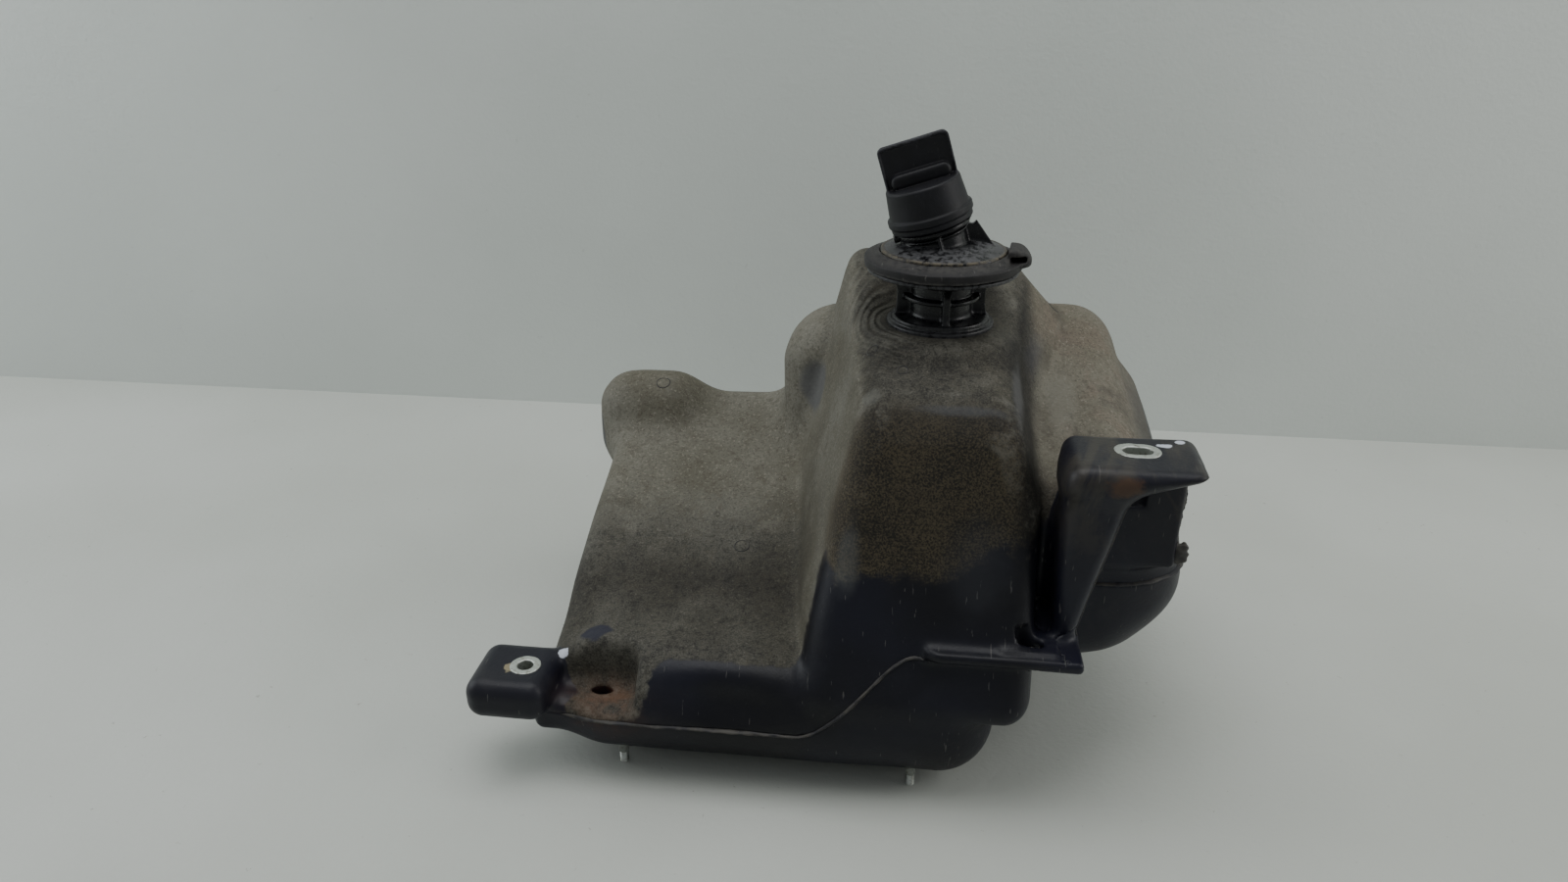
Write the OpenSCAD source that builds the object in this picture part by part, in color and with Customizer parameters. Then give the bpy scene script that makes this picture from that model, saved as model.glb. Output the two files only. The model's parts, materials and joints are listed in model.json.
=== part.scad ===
// Moulded plastic fuel tank with a raised filler neck, drip tray and vented cap.
// Millimetres, +Z up, origin on the ground under the middle of the tank.
// +X points to the viewer's right, +Y away from the filler's front face.

/* [Tank shell] */
// thickness of the moulded wall
wall_t = 4; // [3:0.5:6]
// height of the underside above the ground
floor_z = 8; // [6:1:14]
// height of the tower's deck at its front edge
deck_z = 246; // [230:1:260]
// rise of the deck for each millimetre towards the rear
deck_rise = 0.29; // [0.1:0.01:0.4]
// how far the parting bead stands out of the shell
bead_out = 1.6; // [0.5:0.1:3]
// columns of the shell grid around the filler axis
grid_cols = 96; // [48:4:112]
// rows of the upper shell grid
upper_rows = 26; // [16:1:32]
// rows of the lower shell grid
lower_rows = 14; // [8:1:20]

/* [Filler neck] */
// height of the level seat under the neck
seat_z = 270; // [262:1:276]
// radius of the opening in the deck
deck_open_r = 22; // [18:0.5:23]
// distance of the filler axis to the right of the origin
neck_x = 62; // [50:1:80]
// distance of the filler axis behind the origin
neck_y = 8; // [0:1:20]
// outer radius of the lower neck tube
neck_r = 24; // [20:0.5:28]
// height of the top face of the drip tray
tray_z = 320; // [305:1:325]
// outer radius of the drip tray
tray_r = 50; // [44:1:58]
// lean of the upper neck towards the left
neck_tilt = 17; // [0:1:25]
// turn of the leaning direction around the vertical
neck_turn = 7; // [-20:1:20]
// length of the upper neck tube above the tray
mouth_h = 17; // [12:1:24]
// outer radius of the upper neck tube
mouth_r = 20; // [18:0.5:22]
// bore radius of the filler mouth
bore_r = 16.5; // [14:0.5:17.5]

/* [Cap] */
// radius of the cap's rim
cap_rim_r = 28; // [26:0.5:30]
// radius of the cap's body at its top
cap_top_r = 24.5; // [22:0.5:26]
// height of the cap's body without the grip
cap_h = 28; // [24:1:34]
// width of the upright grip
grip_w = 47; // [38:1:48]
// height of the upright grip
grip_h = 28; // [18:1:32]
// thickness of the upright grip
grip_t = 5; // [3:0.5:8]

/* [Mounting points] */
// bore radius of the round lug bushing
bushing_bore_r = 5.2; // [4.2:0.1:6.2]
// outer radius of the round lug bushing
bushing_r = 10; // [8:0.5:12]
// extra length of the oblong bushing
slot_len = 7.6; // [4:0.2:12]
// radius of the threaded base studs
stud_r = 3; // [2.5:0.5:4]
// height of the left lug's top face
left_lug_z = 75; // [65:1:85]
// height of the right lug's top face
right_lug_z = 229; // [215:1:235]

/* [Pump module] */
// how far the float arm hangs below level
arm_drop = 38; // [20:1:45]
// radius of the pump opening
pump_open_r = 34; // [28:1:38]
// height of the pump axis above the ground
pump_z = 165; // [150:1:180]
// radius of the pump motor housing
pump_r = 19; // [15:0.5:22]
// length of the float arm
arm_len = 92; // [70:1:100]

/* [Hidden] */

pump_x = 70;
pump_y0 = 132;
left_x = -194.5;
left_y = -142.5;
right_x = 180.5;
right_y = -99;
stud_y = -137.5;
stud_left_x = -134;
stud_right_x = 57;
flange_slot = [124.5, -135];
// sideways step from the lower to the upper neck
mouth_dx = 3;
// radius of the cap core's head
core_r = 22;
// radial running clearance of turning and sliding pieces
run = 0.05;
// radial interference of pressed pieces
press = 0.05;
// place and radius of the roll-over vent valve
vent_x = 62;
vent_y = 78;
vent_z = 293;
vent_r = 10;
// rise of the fuel outlet's axis over the pump flange
outlet_rise = 10.2;
// rise of the vent nipple's axis over the vent valve's seat
vent_rise = 13;

// ---- distance field of the tank's outer skin ----------------------------

function clamp(t, lo, hi) = min(max(t, lo), hi);

function ramp(t, a, b) =
    let (s = clamp((t - a) / (b - a), 0, 1))
    s * s * (3 - 2 * s);

// smooth union of two distances
function blend(a, b, k) =
    let (h = clamp(0.5 + 0.5 * (b - a) / k, 0, 1))
    b + (a - b) * h - k * h * (1 - h);

// distance to a block with rounded edges, lo and hi are its corners
function block(q, lo, hi, r) =
    let (
        ex = max(lo[0] - q[0], q[0] - hi[0]) + r,
        ey = max(lo[1] - q[1], q[1] - hi[1]) + r,
        ez = max(lo[2] - q[2], q[2] - hi[2]) + r
    )
    norm([max(ex, 0), max(ey, 0), max(ez, 0)]) + min(max(ex, ey, ez), 0) - r;

function deck_at(y) = deck_z + deck_rise * (y + 85);

// the deck with the level seat of the neck sunk into it
function deck_seat(q) =
    let (
        away = norm([q[0] - neck_x, q[1] - neck_y]),
        mix = ramp(away, 40, 66)
    )
    seat_z + (deck_at(q[1]) - seat_z) * mix;

function wing_at(y) = 130 + 0.36 * (y - 25) - 8 * ramp(-y, 53, 87);

// the underside comes down to the ground behind the front studs
function underside(y) = floor_z * (1 - ramp(y, -70, 90));

function belly(q) = block(q, [-180, -157, underside(q[1])], [109, 133, 88], 38);

function right_side(q) =
    block(q, [62, -91, 50 + 0.25 * (q[0] - 142)], [223, 133, 172], 48);

function left_wing(q) = block(q, [-188, -152, 40], [12, 139, wing_at(q[1])], 20);

function rear_lug(q) = block(q, [-206, 85, 108], [-126, 139, 182], 24);

function rear_block(q) = block(q, [-56, 67, 90], [192, 143, 240], 30);

function right_shoulder(q) =
    block(q, [102, -81, 90], [227, 131, 200 + 0.16 * (q[1] - 5)], 30);

function right_hump(q) =
    block(q, [92, -87, 110],
        [205 - 0.1 * (q[2] - 200), 135, 220 + 0.29 * (q[1] - 5)], 28);

function tower(q) =
    let (
        u = clamp((q[2] - 107) / 136, -0.4, 1.3),
        front = -143 + 52 * u,
        left = -8 + 25 * u - 0.19 * (q[1] - front),
        right = 116 + 0.10 * (q[1] - front)
    )
    block(q, [left, front, 60], [right, 105, deck_seat(q)], 18);

function shelf_recess(q) = block(q, [-182, -190, 52], [-120, -124, 160], 14);

function skin(q) =
    let (
        a = blend(belly(q), right_side(q), 30),
        b = blend(a, left_wing(q), 14),
        c = blend(b, rear_lug(q), 26),
        d = blend(c, rear_block(q), 24),
        e = blend(d, right_shoulder(q), 14),
        f = blend(e, right_hump(q), 14),
        g = blend(f, tower(q), 10)
    )
    -blend(-g, shelf_recess(q), 16);

function skin_normal(q) =
    let (
        e = 0.8,
        g = [skin(q + [e, 0, 0]) - skin(q - [e, 0, 0]),
            skin(q + [0, e, 0]) - skin(q - [0, e, 0]),
            skin(q + [0, 0, e]) - skin(q - [0, 0, e])]
    )
    g / norm(g);

// distance along a ray to the skin, by halving the interval
function hit(o, d, lo, hi, n) =
    n == 0
    ? let (
        f0 = skin(o + d * lo),
        f1 = skin(o + d * hi)
    )
    lo + (hi - lo) * clamp(f0 / (f0 - f1), 0, 1)
    : let (m = (lo + hi) / 2)
    skin(o + d * m) > 0 ? hit(o, d, lo, m, n - 1) : hit(o, d, m, hi, n - 1);

// ---- parting line --------------------------------------------------------

// height of the parting line at an angle around the filler axis
function seam_at(a) =
    133 - 73 * ramp(a, 10, 175) - 14 * ramp(a, 178, 203)
    + 57 * ramp(a, 244, 268) + 30 * ramp(a, 288, 318);

function seam_reach(a) =
    hit([neck_x, neck_y, seam_at(a)], [cos(a), sin(a), 0], 20, 330, 9);

// ---- shell grids ---------------------------------------------------------

spine_in = 30;

// point of the skin on the fan of rays of one column, v runs from the pole to the seam
function fan_point(a, v, r0, reach, up) =
    let (
        rho = r0 + (reach - spine_in - r0) * v,
        e = 90 * (1 - v) * up,
        o = [neck_x + rho * cos(a), neck_y + rho * sin(a), seam_at(a)],
        d = [cos(a) * cos(e), sin(a) * cos(e), sin(e)]
    )
    o + d * hit(o, d, 0, up > 0 ? 260 : 150, 9);

// running length along a list of points
function lengths(p, i = 1, acc = [0]) =
    i >= len(p) ? acc : lengths(p, i + 1, concat(acc, [acc[i - 1] + norm(p[i] - p[i - 1])]));

// place on a polyline at a running length
function along(p, s, t, i = 1) =
    (i >= len(p) - 1 || s[i] >= t)
    ? p[i - 1] + (p[i] - p[i - 1]) * clamp((t - s[i - 1]) / (s[i] - s[i - 1]), 0, 1)
    : along(p, s, t, i + 1);

// one column of evenly spaced points from the pole to the seam
function column(a, r0, up, rows) =
    let (
        reach = seam_reach(a),
        fine = [for (i = [0 : 30]) fan_point(a, i / 30, r0, reach, up)],
        s = lengths(fine),
        end = s[len(s) - 1]
    )
    [for (i = [0 : rows]) along(fine, s, end * i / rows)];

// the outer skin with its parting bead, then the inner skin
function shell_points(r0, up, rows) =
    let (
        cols = [for (k = [0 : grid_cols - 1]) column(360 * k / grid_cols, r0, up, rows)],
        nrm = [for (c = cols) [for (p = c) skin_normal(p)]]
    )
    concat(
        [for (k = [0 : grid_cols - 1]) for (i = [0 : rows])
            i == rows
            ? cols[k][i] + bead_out * flat_unit(nrm[k][i])
            : cols[k][i]],
        [for (k = [0 : grid_cols - 1]) for (i = [0 : rows])
            cols[k][i] - wall_t * (i == rows ? flat_unit(nrm[k][i]) : nrm[k][i])]
    );

function flat_unit(n) = [n[0], n[1], 0] / norm([n[0], n[1], 0]);

// vertex number in the grid, s is 0 for the outer skin and 1 for the inner
function vid(k, i, s, rows) = (s * grid_cols + k % grid_cols) * (rows + 1) + i;

function shell_faces(rows, up) =
    let (
        quads = concat(
            [for (k = [0 : grid_cols - 1]) for (i = [0 : rows - 1]) for (s = [0, 1])
                s == 0
                ? [vid(k, i, s, rows), vid(k + 1, i, s, rows),
                    vid(k + 1, i + 1, s, rows), vid(k, i + 1, s, rows)]
                : [vid(k, i, s, rows), vid(k, i + 1, s, rows),
                    vid(k + 1, i + 1, s, rows), vid(k + 1, i, s, rows)]],
            [for (k = [0 : grid_cols - 1])
                [vid(k, rows, 0, rows), vid(k + 1, rows, 0, rows),
                    vid(k + 1, rows, 1, rows), vid(k, rows, 1, rows)]],
            [for (k = [0 : grid_cols - 1])
                [vid(k, 0, 0, rows), vid(k, 0, 1, rows),
                    vid(k + 1, 0, 1, rows), vid(k + 1, 0, 0, rows)]]
        ),
        tris = [for (q = quads) for (t = [[q[0], q[1], q[2]], [q[0], q[2], q[3]]]) t]
    )
    [for (t = tris) up > 0 ? [t[2], t[1], t[0]] : t];

// ---- shells --------------------------------------------------------------

module upper_skin() {
    polyhedron(
        points = shell_points(deck_open_r, 1, upper_rows),
        faces = shell_faces(upper_rows, -1)
    );
}

// closed grid of the lower shell, both skins end in a fan at the filler axis
module lower_skin() {
    rows = lower_rows;
    n = grid_cols;
    pts = concat(
        shell_points(6, -1, rows),
        [[neck_x, neck_y, underside(neck_y)], [neck_x, neck_y, underside(neck_y) + wall_t]]
    );
    top = 2 * n * (rows + 1);
    all_faces = shell_faces(rows, 1);
    walls = [for (i = [0 : len(all_faces) - 2 * n - 1]) all_faces[i]];
    fans = [for (k = [0 : n - 1]) for (s = [0, 1])
        s == 0
        ? [top, vid(k + 1, 0, 0, rows), vid(k, 0, 0, rows)]
        : [top + 1, vid(k, 0, 1, rows), vid(k + 1, 0, 1, rows)]];
    polyhedron(points = pts, faces = concat(walls, fans));
}

module tank_upper_shell() {
    color("#2b2a2c")
    difference() {
        upper_skin();
        pump_place(-20) cylinder(r = pump_open_r + 3, h = 60, $fn = 48);
        translate([vent_x, vent_y, 240]) cylinder(r = vent_r, h = 80, $fn = 32);
    }
}

module tank_lower_shell() {
    color("#232228")
    lower_skin();
}

// ---- shared helpers ------------------------------------------------------

// move to the pump opening, local +Z points out of the rear wall
module pump_place(along = 0) {
    translate([pump_x, pump_y0 + along, pump_z]) rotate([-90, 0, 0]) children();
}

// move to the tilted axis of the filler mouth, local +Z points out of the mouth
module mouth_place(along = 0) {
    translate([neck_x - mouth_dx, neck_y, tray_z])
        rotate([0, 0, neck_turn]) rotate([0, -neck_tilt, 0])
        translate([0, 0, along]) children();
}

module tube(r_out, r_in, h, fn = 64) {
    difference() {
        cylinder(r = r_out, h = h, $fn = fn);
        translate([0, 0, -1]) cylinder(r = r_in, h = h + 2, $fn = fn);
    }
}

// tube with rounded ends in plan, len is the straight length between the ends
module oblong(r, len, h) {
    translate([-len / 2, -r, 0]) cube([len, 2 * r, h]);
    translate([-len / 2, 0, 0]) cylinder(r = r, h = h, $fn = 48);
    translate([len / 2, 0, 0]) cylinder(r = r, h = h, $fn = 48);
}

// block with rounded upright edges and a bevelled top and bottom
module soft_block(lo, hi, r, bevel) {
    hull()
        for (x = [lo[0] + r, hi[0] - r], y = [lo[1] + r, hi[1] - r])
            translate([x, y, lo[2]]) {
                translate([0, 0, bevel]) cylinder(r = r, h = hi[2] - lo[2] - 2 * bevel, $fn = 32);
                cylinder(r = r - bevel, h = hi[2] - lo[2], $fn = 32);
            }
}

// unit direction of a polyline at point i
function path_dir(p, i) =
    let (d = p[min(i + 1, len(p) - 1)] - p[max(i - 1, 0)])
    d / norm(d);

// ring of points around a path point
function path_ring(p, i, r, sides, side_hint) =
    let (
        t = path_dir(p, i),
        a0 = cross(t, side_hint),
        a = a0 / norm(a0),
        b = cross(t, a)
    )
    [for (k = [0 : sides - 1]) p[i] + r * (cos(360 * k / sides) * a + sin(360 * k / sides) * b)];

// round bar that follows a list of points
module bar(p, r, sides, side_hint) {
    n = len(p);
    rings = [for (i = [0 : n - 1]) for (q = path_ring(p, i, r, sides, side_hint)) q];
    walls = [for (i = [0 : n - 2]) for (k = [0 : sides - 1])
        [i * sides + k, i * sides + (k + 1) % sides,
            (i + 1) * sides + (k + 1) % sides, (i + 1) * sides + k]];
    tris = [for (w = walls) for (t = [[w[0], w[2], w[1]], [w[0], w[3], w[2]]]) t];
    ends = concat(
        [for (k = [1 : sides - 2]) [0, k, k + 1]],
        [for (k = [1 : sides - 2]) [(n - 1) * sides, (n - 1) * sides + k + 1, (n - 1) * sides + k]]
    );
    polyhedron(points = rings, faces = concat(tris, ends));
}

// ---- lugs and flange -----------------------------------------------------

module front_left_lug() {
    color("#2c2c33")
    difference() {
        soft_block([-229, -170, 44], [-172, -114, left_lug_z], 13, 5);
        translate([left_x, left_y, 40]) cylinder(r = bushing_r, h = 60, $fn = 64);
    }
}

module front_right_lug() {
    color("#2c2c33")
    difference() {
        union() {
            soft_block([132, -137, right_lug_z - 22], [218, -74, right_lug_z], 13, 5);
            soft_block([132, -127, 105], [168, -80, right_lug_z - 6], 12, 4);
            translate([150, -95, 118]) cube([64, 12, right_lug_z - 130]);
        }
        translate([right_x, right_y, right_lug_z - 40])
            oblong(bushing_r, slot_len, 60);
    }
}

module front_right_flange() {
    color("#2c2c33")
    difference() {
        hull() {
            translate([152, -141, 104]) cylinder(r = 9, h = 7, $fn = 32);
            translate([152, -112, 104]) cylinder(r = 9, h = 7, $fn = 32);
            translate([84, -143, 104]) cylinder(r = 4, h = 7, $fn = 32);
            translate([100, -125, 104]) cylinder(r = 6, h = 7, $fn = 32);
        }
        translate([flange_slot[0], flange_slot[1], 100]) oblong(4, 10, 20);
    }
}

module left_lug_bushing() {
    color("#b9bcb8")
    translate([left_x, left_y, 45])
        tube(bushing_r + press, bushing_bore_r, left_lug_z - 45 + 0.6);
}

module right_lug_bushing() {
    color("#b9bcb8")
    translate([right_x, right_y, right_lug_z - 21])
        difference() {
            oblong(bushing_r + press, slot_len, 21.6);
            translate([0, 0, -1]) oblong(bushing_bore_r, slot_len, 24);
        }
}

module stud_shape() {
    cylinder(r1 = stud_r - 0.8, r2 = stud_r, h = 0.8, $fn = 48);
    translate([0, 0, 0.8]) cylinder(r = stud_r, h = 8, $fn = 48);
    translate([0, 0, 8.8]) cylinder(r = stud_r + 0.3, h = 17, $fn = 48);
    translate([0, 0, 24]) cylinder(r = 6, h = 3, $fn = 6);
}

// two studs with hexagonal heads
module base_studs() {
    color("#8d8f90")
    for (x = [stud_left_x, stud_right_x])
        translate([x, stud_y, 0]) stud_shape();
}

// moulded bosses that hold the stud heads inside the floor
module stud_bosses() {
    color("#232228")
    for (x = [stud_left_x, stud_right_x])
        translate([x, stud_y, 0])
            difference() {
                translate([0, 0, 19]) cylinder(r = 7.5, h = 13, $fn = 64);
                stud_shape();
            }
}

// ---- filler neck ---------------------------------------------------------

lip_z = tray_z - 14;
seal_in_r = tray_r - 8.5;

module neck_rib(a) {
    rotate([0, 0, a])
        translate([0, 2.4, 0]) rotate([90, 0, 0])
        linear_extrude(4.8)
        polygon([[neck_r - 4, seat_z], [neck_r + 7, seat_z + 1], [neck_r + 7, lip_z - 12],
            [neck_r + 9, lip_z - 5], [neck_r + 15, lip_z + 1], [neck_r - 4, lip_z + 1]]);
}

module neck_lower() {
    rotate_extrude($fn = 96)
        polygon([[0, seat_z - 6], [neck_r - 2.2, seat_z - 6], [neck_r - 2.2, seat_z - 1],
            [37, seat_z - 1], [37, seat_z + 3], [34, seat_z + 3], [34, seat_z + 6],
            [neck_r + 1, seat_z + 6], [neck_r, seat_z + 8], [neck_r, lip_z - 18],
            [neck_r + 4, lip_z - 18], [neck_r + 4, lip_z - 15], [neck_r, lip_z - 15],
            [neck_r, lip_z - 6], [neck_r + 4, lip_z - 2], [neck_r + 10, lip_z],
            [tray_r, lip_z], [tray_r, lip_z + 2.5], [seal_in_r - 0.3, lip_z + 2.5],
            [seal_in_r - 0.3, tray_z], [seal_in_r - 3, tray_z], [seal_in_r - 3.5, tray_z - 2.5],
            [neck_r + 6, tray_z - 3.5], [mouth_r, tray_z - 1], [0, tray_z - 1]]);
    for (a = [0 : 45 : 315])
        neck_rib(a + neck_turn - 90);
}

module neck_fin(a, r_out, z0) {
    rotate([0, 0, a])
        translate([0, 1.9, 0]) rotate([90, 0, 0])
        linear_extrude(3.8)
        polygon([[mouth_r - 3, z0], [r_out, z0 + 2], [r_out, mouth_h - 4],
            [r_out - 2, mouth_h - 1], [mouth_r - 3, mouth_h - 1]]);
}

module neck_upper() {
    translate([0, 0, -9]) cylinder(r = mouth_r, h = mouth_h + 9, $fn = 96);
    translate([0, 0, mouth_h - 3]) cylinder(r = mouth_r + 4, h = 3, $fn = 96);
    translate([0, 0, mouth_h - 6]) cylinder(r1 = mouth_r, r2 = mouth_r + 2, h = 3, $fn = 96);
    neck_fin(-90, mouth_r + 6, -7);
    neck_fin(90, mouth_r + 6, -3);
    neck_fin(180, mouth_r + 5, 1);
    // pierced gusset on the side away from the lean
    difference() {
        translate([0, 2, 0]) rotate([90, 0, 0])
            linear_extrude(4)
            polygon([[mouth_r - 3, -12], [mouth_r + 16, -13], [mouth_r + 6.5, mouth_h - 1],
                [mouth_r - 3, mouth_h - 1]]);
        translate([mouth_r + 4.2, 5, mouth_h - 6]) rotate([90, 0, 0])
            cylinder(r = 2.5, h = 10, $fn = 32);
    }
}

module filler_neck() {
    color("#17171a")
    difference() {
        union() {
            translate([neck_x, neck_y, 0]) neck_lower();
            mouth_place() neck_upper();
        }
        mouth_place(-8) cylinder(r = bore_r, h = mouth_h + 9, $fn = 96);
        translate([neck_x, neck_y, seat_z - 8]) cylinder(r = neck_r - 4, h = tray_z - seat_z + 3, $fn = 96);
    }
}

module drip_tray_seal() {
    color("#2d2b2c")
    translate([neck_x, neck_y, lip_z + 2.5]) {
        rotate_extrude($fn = 96)
            polygon([[seal_in_r, 0], [tray_r + 1, 0], [tray_r + 1.8, 1], [tray_r + 1.8, 8],
                [tray_r - 1, 11.5], [seal_in_r, 11.5]]);
        // pull tab with a finger slot
        rotate([0, 0, neck_turn + 12])
            difference() {
                translate([tray_r - 2, -8, 1.5]) cube([9, 16, 11]);
                translate([tray_r + 1.9, -5.5, 4]) cube([3, 11, 6]);
            }
    }
}

// anti-surge tube under the neck
module neck_inner_tube() {
    color("#3a3a3f")
    translate([neck_x, neck_y, 0])
        difference() {
            union() {
                translate([0, 0, 214]) cylinder(r = 16, h = seat_z + 24 - 214, $fn = 64);
                translate([0, 0, seat_z + 20]) cylinder(r = neck_r - 3.95, h = 4, $fn = 64);
            }
            translate([0, 0, 210]) cylinder(r = 14, h = 100, $fn = 64);
        }
}

// ---- cap -----------------------------------------------------------------

module cap_grip() {
    r = 4;
    h = cap_h + grip_h;
    translate([0, grip_t / 2, 0]) rotate([90, 0, 0]) {
        linear_extrude(grip_t)
            polygon(concat(
                [[-cap_top_r + 1, cap_h - 3], [cap_top_r - 1, cap_h - 3]],
                [for (a = [0 : 15 : 90]) [grip_w / 2 - r + r * cos(a), h - r + r * sin(a)]],
                [for (a = [90 : 15 : 180]) [-grip_w / 2 + r + r * cos(a), h - r + r * sin(a)]]
            ));
    }
    // raised pad at the foot of the grip
    for (s = [-1, 1])
        translate([0, s * (grip_t / 2 + 2.5), cap_h + 4]) rotate([90, 0, 0])
            translate([0, 0, -3]) {
                translate([-14, -4.5, 0]) cube([28, 9, 6]);
                translate([-14, 0, 0]) cylinder(r = 4.5, h = 6, $fn = 32);
                translate([14, 0, 0]) cylinder(r = 4.5, h = 6, $fn = 32);
            }
}

module cap_shell() {
    color("#3b3b42")
    mouth_place(mouth_h + 1)
        difference() {
            union() {
                rotate_extrude($fn = 96)
                    polygon([[0, 0], [cap_rim_r - 1.2, 0], [cap_rim_r - 1.2, 3],
                        [cap_rim_r - 0.6, 3.5], [cap_rim_r, 4.5], [cap_rim_r, 7.5],
                        [cap_rim_r - 1.5, 9], [cap_top_r, cap_h - 2], [cap_top_r - 2, cap_h],
                        [0, cap_h]]);
                translate([0, 0, 0]) cap_grip();
            }
            translate([0, 0, -1]) cylinder(r = core_r + run, h = 23, $fn = 96);
        }
}

module cap_core() {
    color("#55575c")
    mouth_place(mouth_h)
        difference() {
            union() {
                translate([0, 0, 2]) cylinder(r = core_r, h = 21, $fn = 96);
                translate([0, 0, -12]) cylinder(r = bore_r - run, h = 15, $fn = 96);
            }
            // valve chamber with its vent
            translate([0, 0, -8]) cylinder(r = 7, h = 40, $fn = 64);
            translate([0, 0, -20]) cylinder(r = 3, h = 30, $fn = 48);
        }
}

module cap_seal() {
    color("#232323")
    mouth_place(mouth_h)
        tube(mouth_r + 1.5, bore_r + 0.4, 2, 96);
}

module cap_valve_disc() {
    color("#8d8f90")
    mouth_place(mouth_h - 8) {
        cylinder(r = 7 - run, h = 2, $fn = 64);
        cylinder(r = 2, h = 6, $fn = 32);
    }
}

module cap_valve_spring() {
    coils = 4;
    steps = 16 * coils;
    color("#a9abad")
    mouth_place(mouth_h - 5.4)
        bar([for (i = [0 : steps])
            [4.6 * cos(360 * coils * i / steps), 4.6 * sin(360 * coils * i / steps),
                11.2 * i / steps]], 0.5, 8, [0, 0, 1]);
}

module cap_valve_retainer() {
    color("#8d8f90")
    mouth_place(mouth_h + 8)
        tube(7 + press, 3, 3);
}

// ---- pump module ---------------------------------------------------------

module pump_collar() {
    color("#232328")
    pump_place(3)
        rotate_extrude($fn = 96)
        polygon([[pump_open_r, 0], [pump_open_r + 3, 0], [pump_open_r + 3, 8],
            [pump_open_r + 8, 9], [pump_open_r + 8, 13], [pump_open_r + 4, 13],
            [pump_open_r + 4, 21], [pump_open_r, 21]]);
}

module pump_flange_gasket() {
    color("#1c1c1e")
    pump_place(24)
        tube(pump_open_r + 4, pump_open_r - 2, 2, 96);
}

module pump_flange() {
    color("#2f3034")
    pump_place(26)
        difference() {
            union() {
                cylinder(r = pump_open_r + 3.4, h = 4, $fn = 96);
                translate([0, 0, -12]) cylinder(r = pump_open_r - 5, h = 13, $fn = 96);
                // outlet boss and barbed nipple pointing left
                translate([-14, 12, 3]) cylinder(r = 6.5, h = 10.6, $fn = 48);
                translate([-14, 12, outlet_rise]) rotate([0, -90, 0]) {
                    cylinder(r = 3.4, h = 26, $fn = 48);
                    translate([0, 0, 15]) cylinder(r1 = 3.9, r2 = 3.4, h = 4, $fn = 48);
                    translate([0, 0, 21]) cylinder(r1 = 3.9, r2 = 3.4, h = 4, $fn = 48);
                }
                // socket of the electrical connector
                translate([2, -19, 3]) cube([22, 16, 10]);
            }
            translate([-14, 12, outlet_rise]) rotate([0, -90, 0]) cylinder(r = 2.2, h = 30, $fn = 32);
            translate([-14, 12, -20]) cylinder(r = 2.2, h = 20 + outlet_rise, $fn = 32);
            translate([4, -17, 6]) cube([18, 12, 10]);
        }
}

module connector_pins() {
    color("#c2b280")
    pump_place(26)
        for (x = [7, 11.7, 16.3, 21])
            translate([x - 0.75, -11.5, 2]) cube([1.5, 1, 9]);
}

module pump_lock_ring() {
    color("#26262a")
    pump_place(0)
        difference() {
            union() {
                translate([0, 0, 18]) cylinder(r = pump_open_r + 8.5, h = 13.8, $fn = 96);
                for (a = [0 : 30 : 330])
                    rotate([0, 0, a]) translate([pump_open_r + 7, -2.5, 19]) cube([4, 5, 13]);
            }
            translate([0, 0, 17]) cylinder(r = pump_open_r + 4.3, h = 13.2, $fn = 96);
            translate([0, 0, 17]) cylinder(r = pump_open_r - 3, h = 30, $fn = 96);
        }
}

module pump_bracket() {
    color("#3a3b40")
    pump_place(0)
        difference() {
            union() {
                translate([-23, -23, 9]) cube([46, 46, 5]);
                translate([-23, -3, -112]) cube([3.4, 6, 124]);
                translate([19.6, -3, -112]) cube([3.4, 6, 124]);
                translate([0, 0, -112]) tube(23, pump_r + 0.02, 8);
                translate([0, 0, -30]) tube(23, pump_r + 0.02, 8);
            }
            translate([-14, 12, 0]) cylinder(r = 4.6, h = 30, $fn = 32);
        }
}

module pump_housing() {
    color("#9b9d9f")
    pump_place(0) {
        translate([0, 0, -112]) cylinder(r = pump_r, h = 100, $fn = 64);
        translate([0, 0, -12]) cylinder(r1 = pump_r, r2 = 12, h = 4, $fn = 64);
        translate([-14, 12, -12]) cylinder(r = 3.4, h = 10, $fn = 32);
        translate([-12, 8, -12]) cylinder(r = 5, h = 3, $fn = 32);
    }
}

module pump_strainer() {
    color("#d8d4c4")
    translate([pump_x, pump_y0 - 112, pump_z]) {
        rotate([90, 0, 0]) cylinder(r = 6, h = 8, $fn = 48);
        translate([-14, -14, -118]) cube([28, 7, 122]);
    }
}

module pump_outlet_hose() {
    color("#1f1f22")
    pump_place(-6)
        translate([-14, 12, 0]) tube(4.4, 3.4, 20, 48);
}

module pressure_regulator() {
    color("#b5a76a")
    pump_place(0) {
        translate([14, 14, -4]) cylinder(r = 8, h = 13, $fn = 48);
        translate([14, 14, -7]) cylinder(r = 4, h = 4, $fn = 48);
    }
}

pivot = [pump_x - 34, pump_y0 - 60, pump_z - 45];

module level_sender_card() {
    color("#e2e2dc")
    translate(pivot) {
        translate([-8, -5, -8]) cube([22, 2, 52]);
        translate([0, -3, 0]) rotate([90, 0, 0]) translate([0, 0, -7]) cylinder(r = 1.6, h = 8, $fn = 32);
    }
}

module float_arm() {
    color("#b9bcb8")
    translate(pivot) rotate([0, -arm_drop, 0]) {
        translate([0, 1.5, 0]) rotate([90, 0, 0]) tube(4, 1.6 + run, 3, 48);
        translate([-arm_len, 0, 0]) rotate([0, 90, 0]) cylinder(r = 1, h = arm_len - 3, $fn = 32);
        translate([-arm_len, -2, 0]) rotate([-90, 0, 0]) cylinder(r = 1.3, h = 25, $fn = 32);
    }
}

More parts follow.
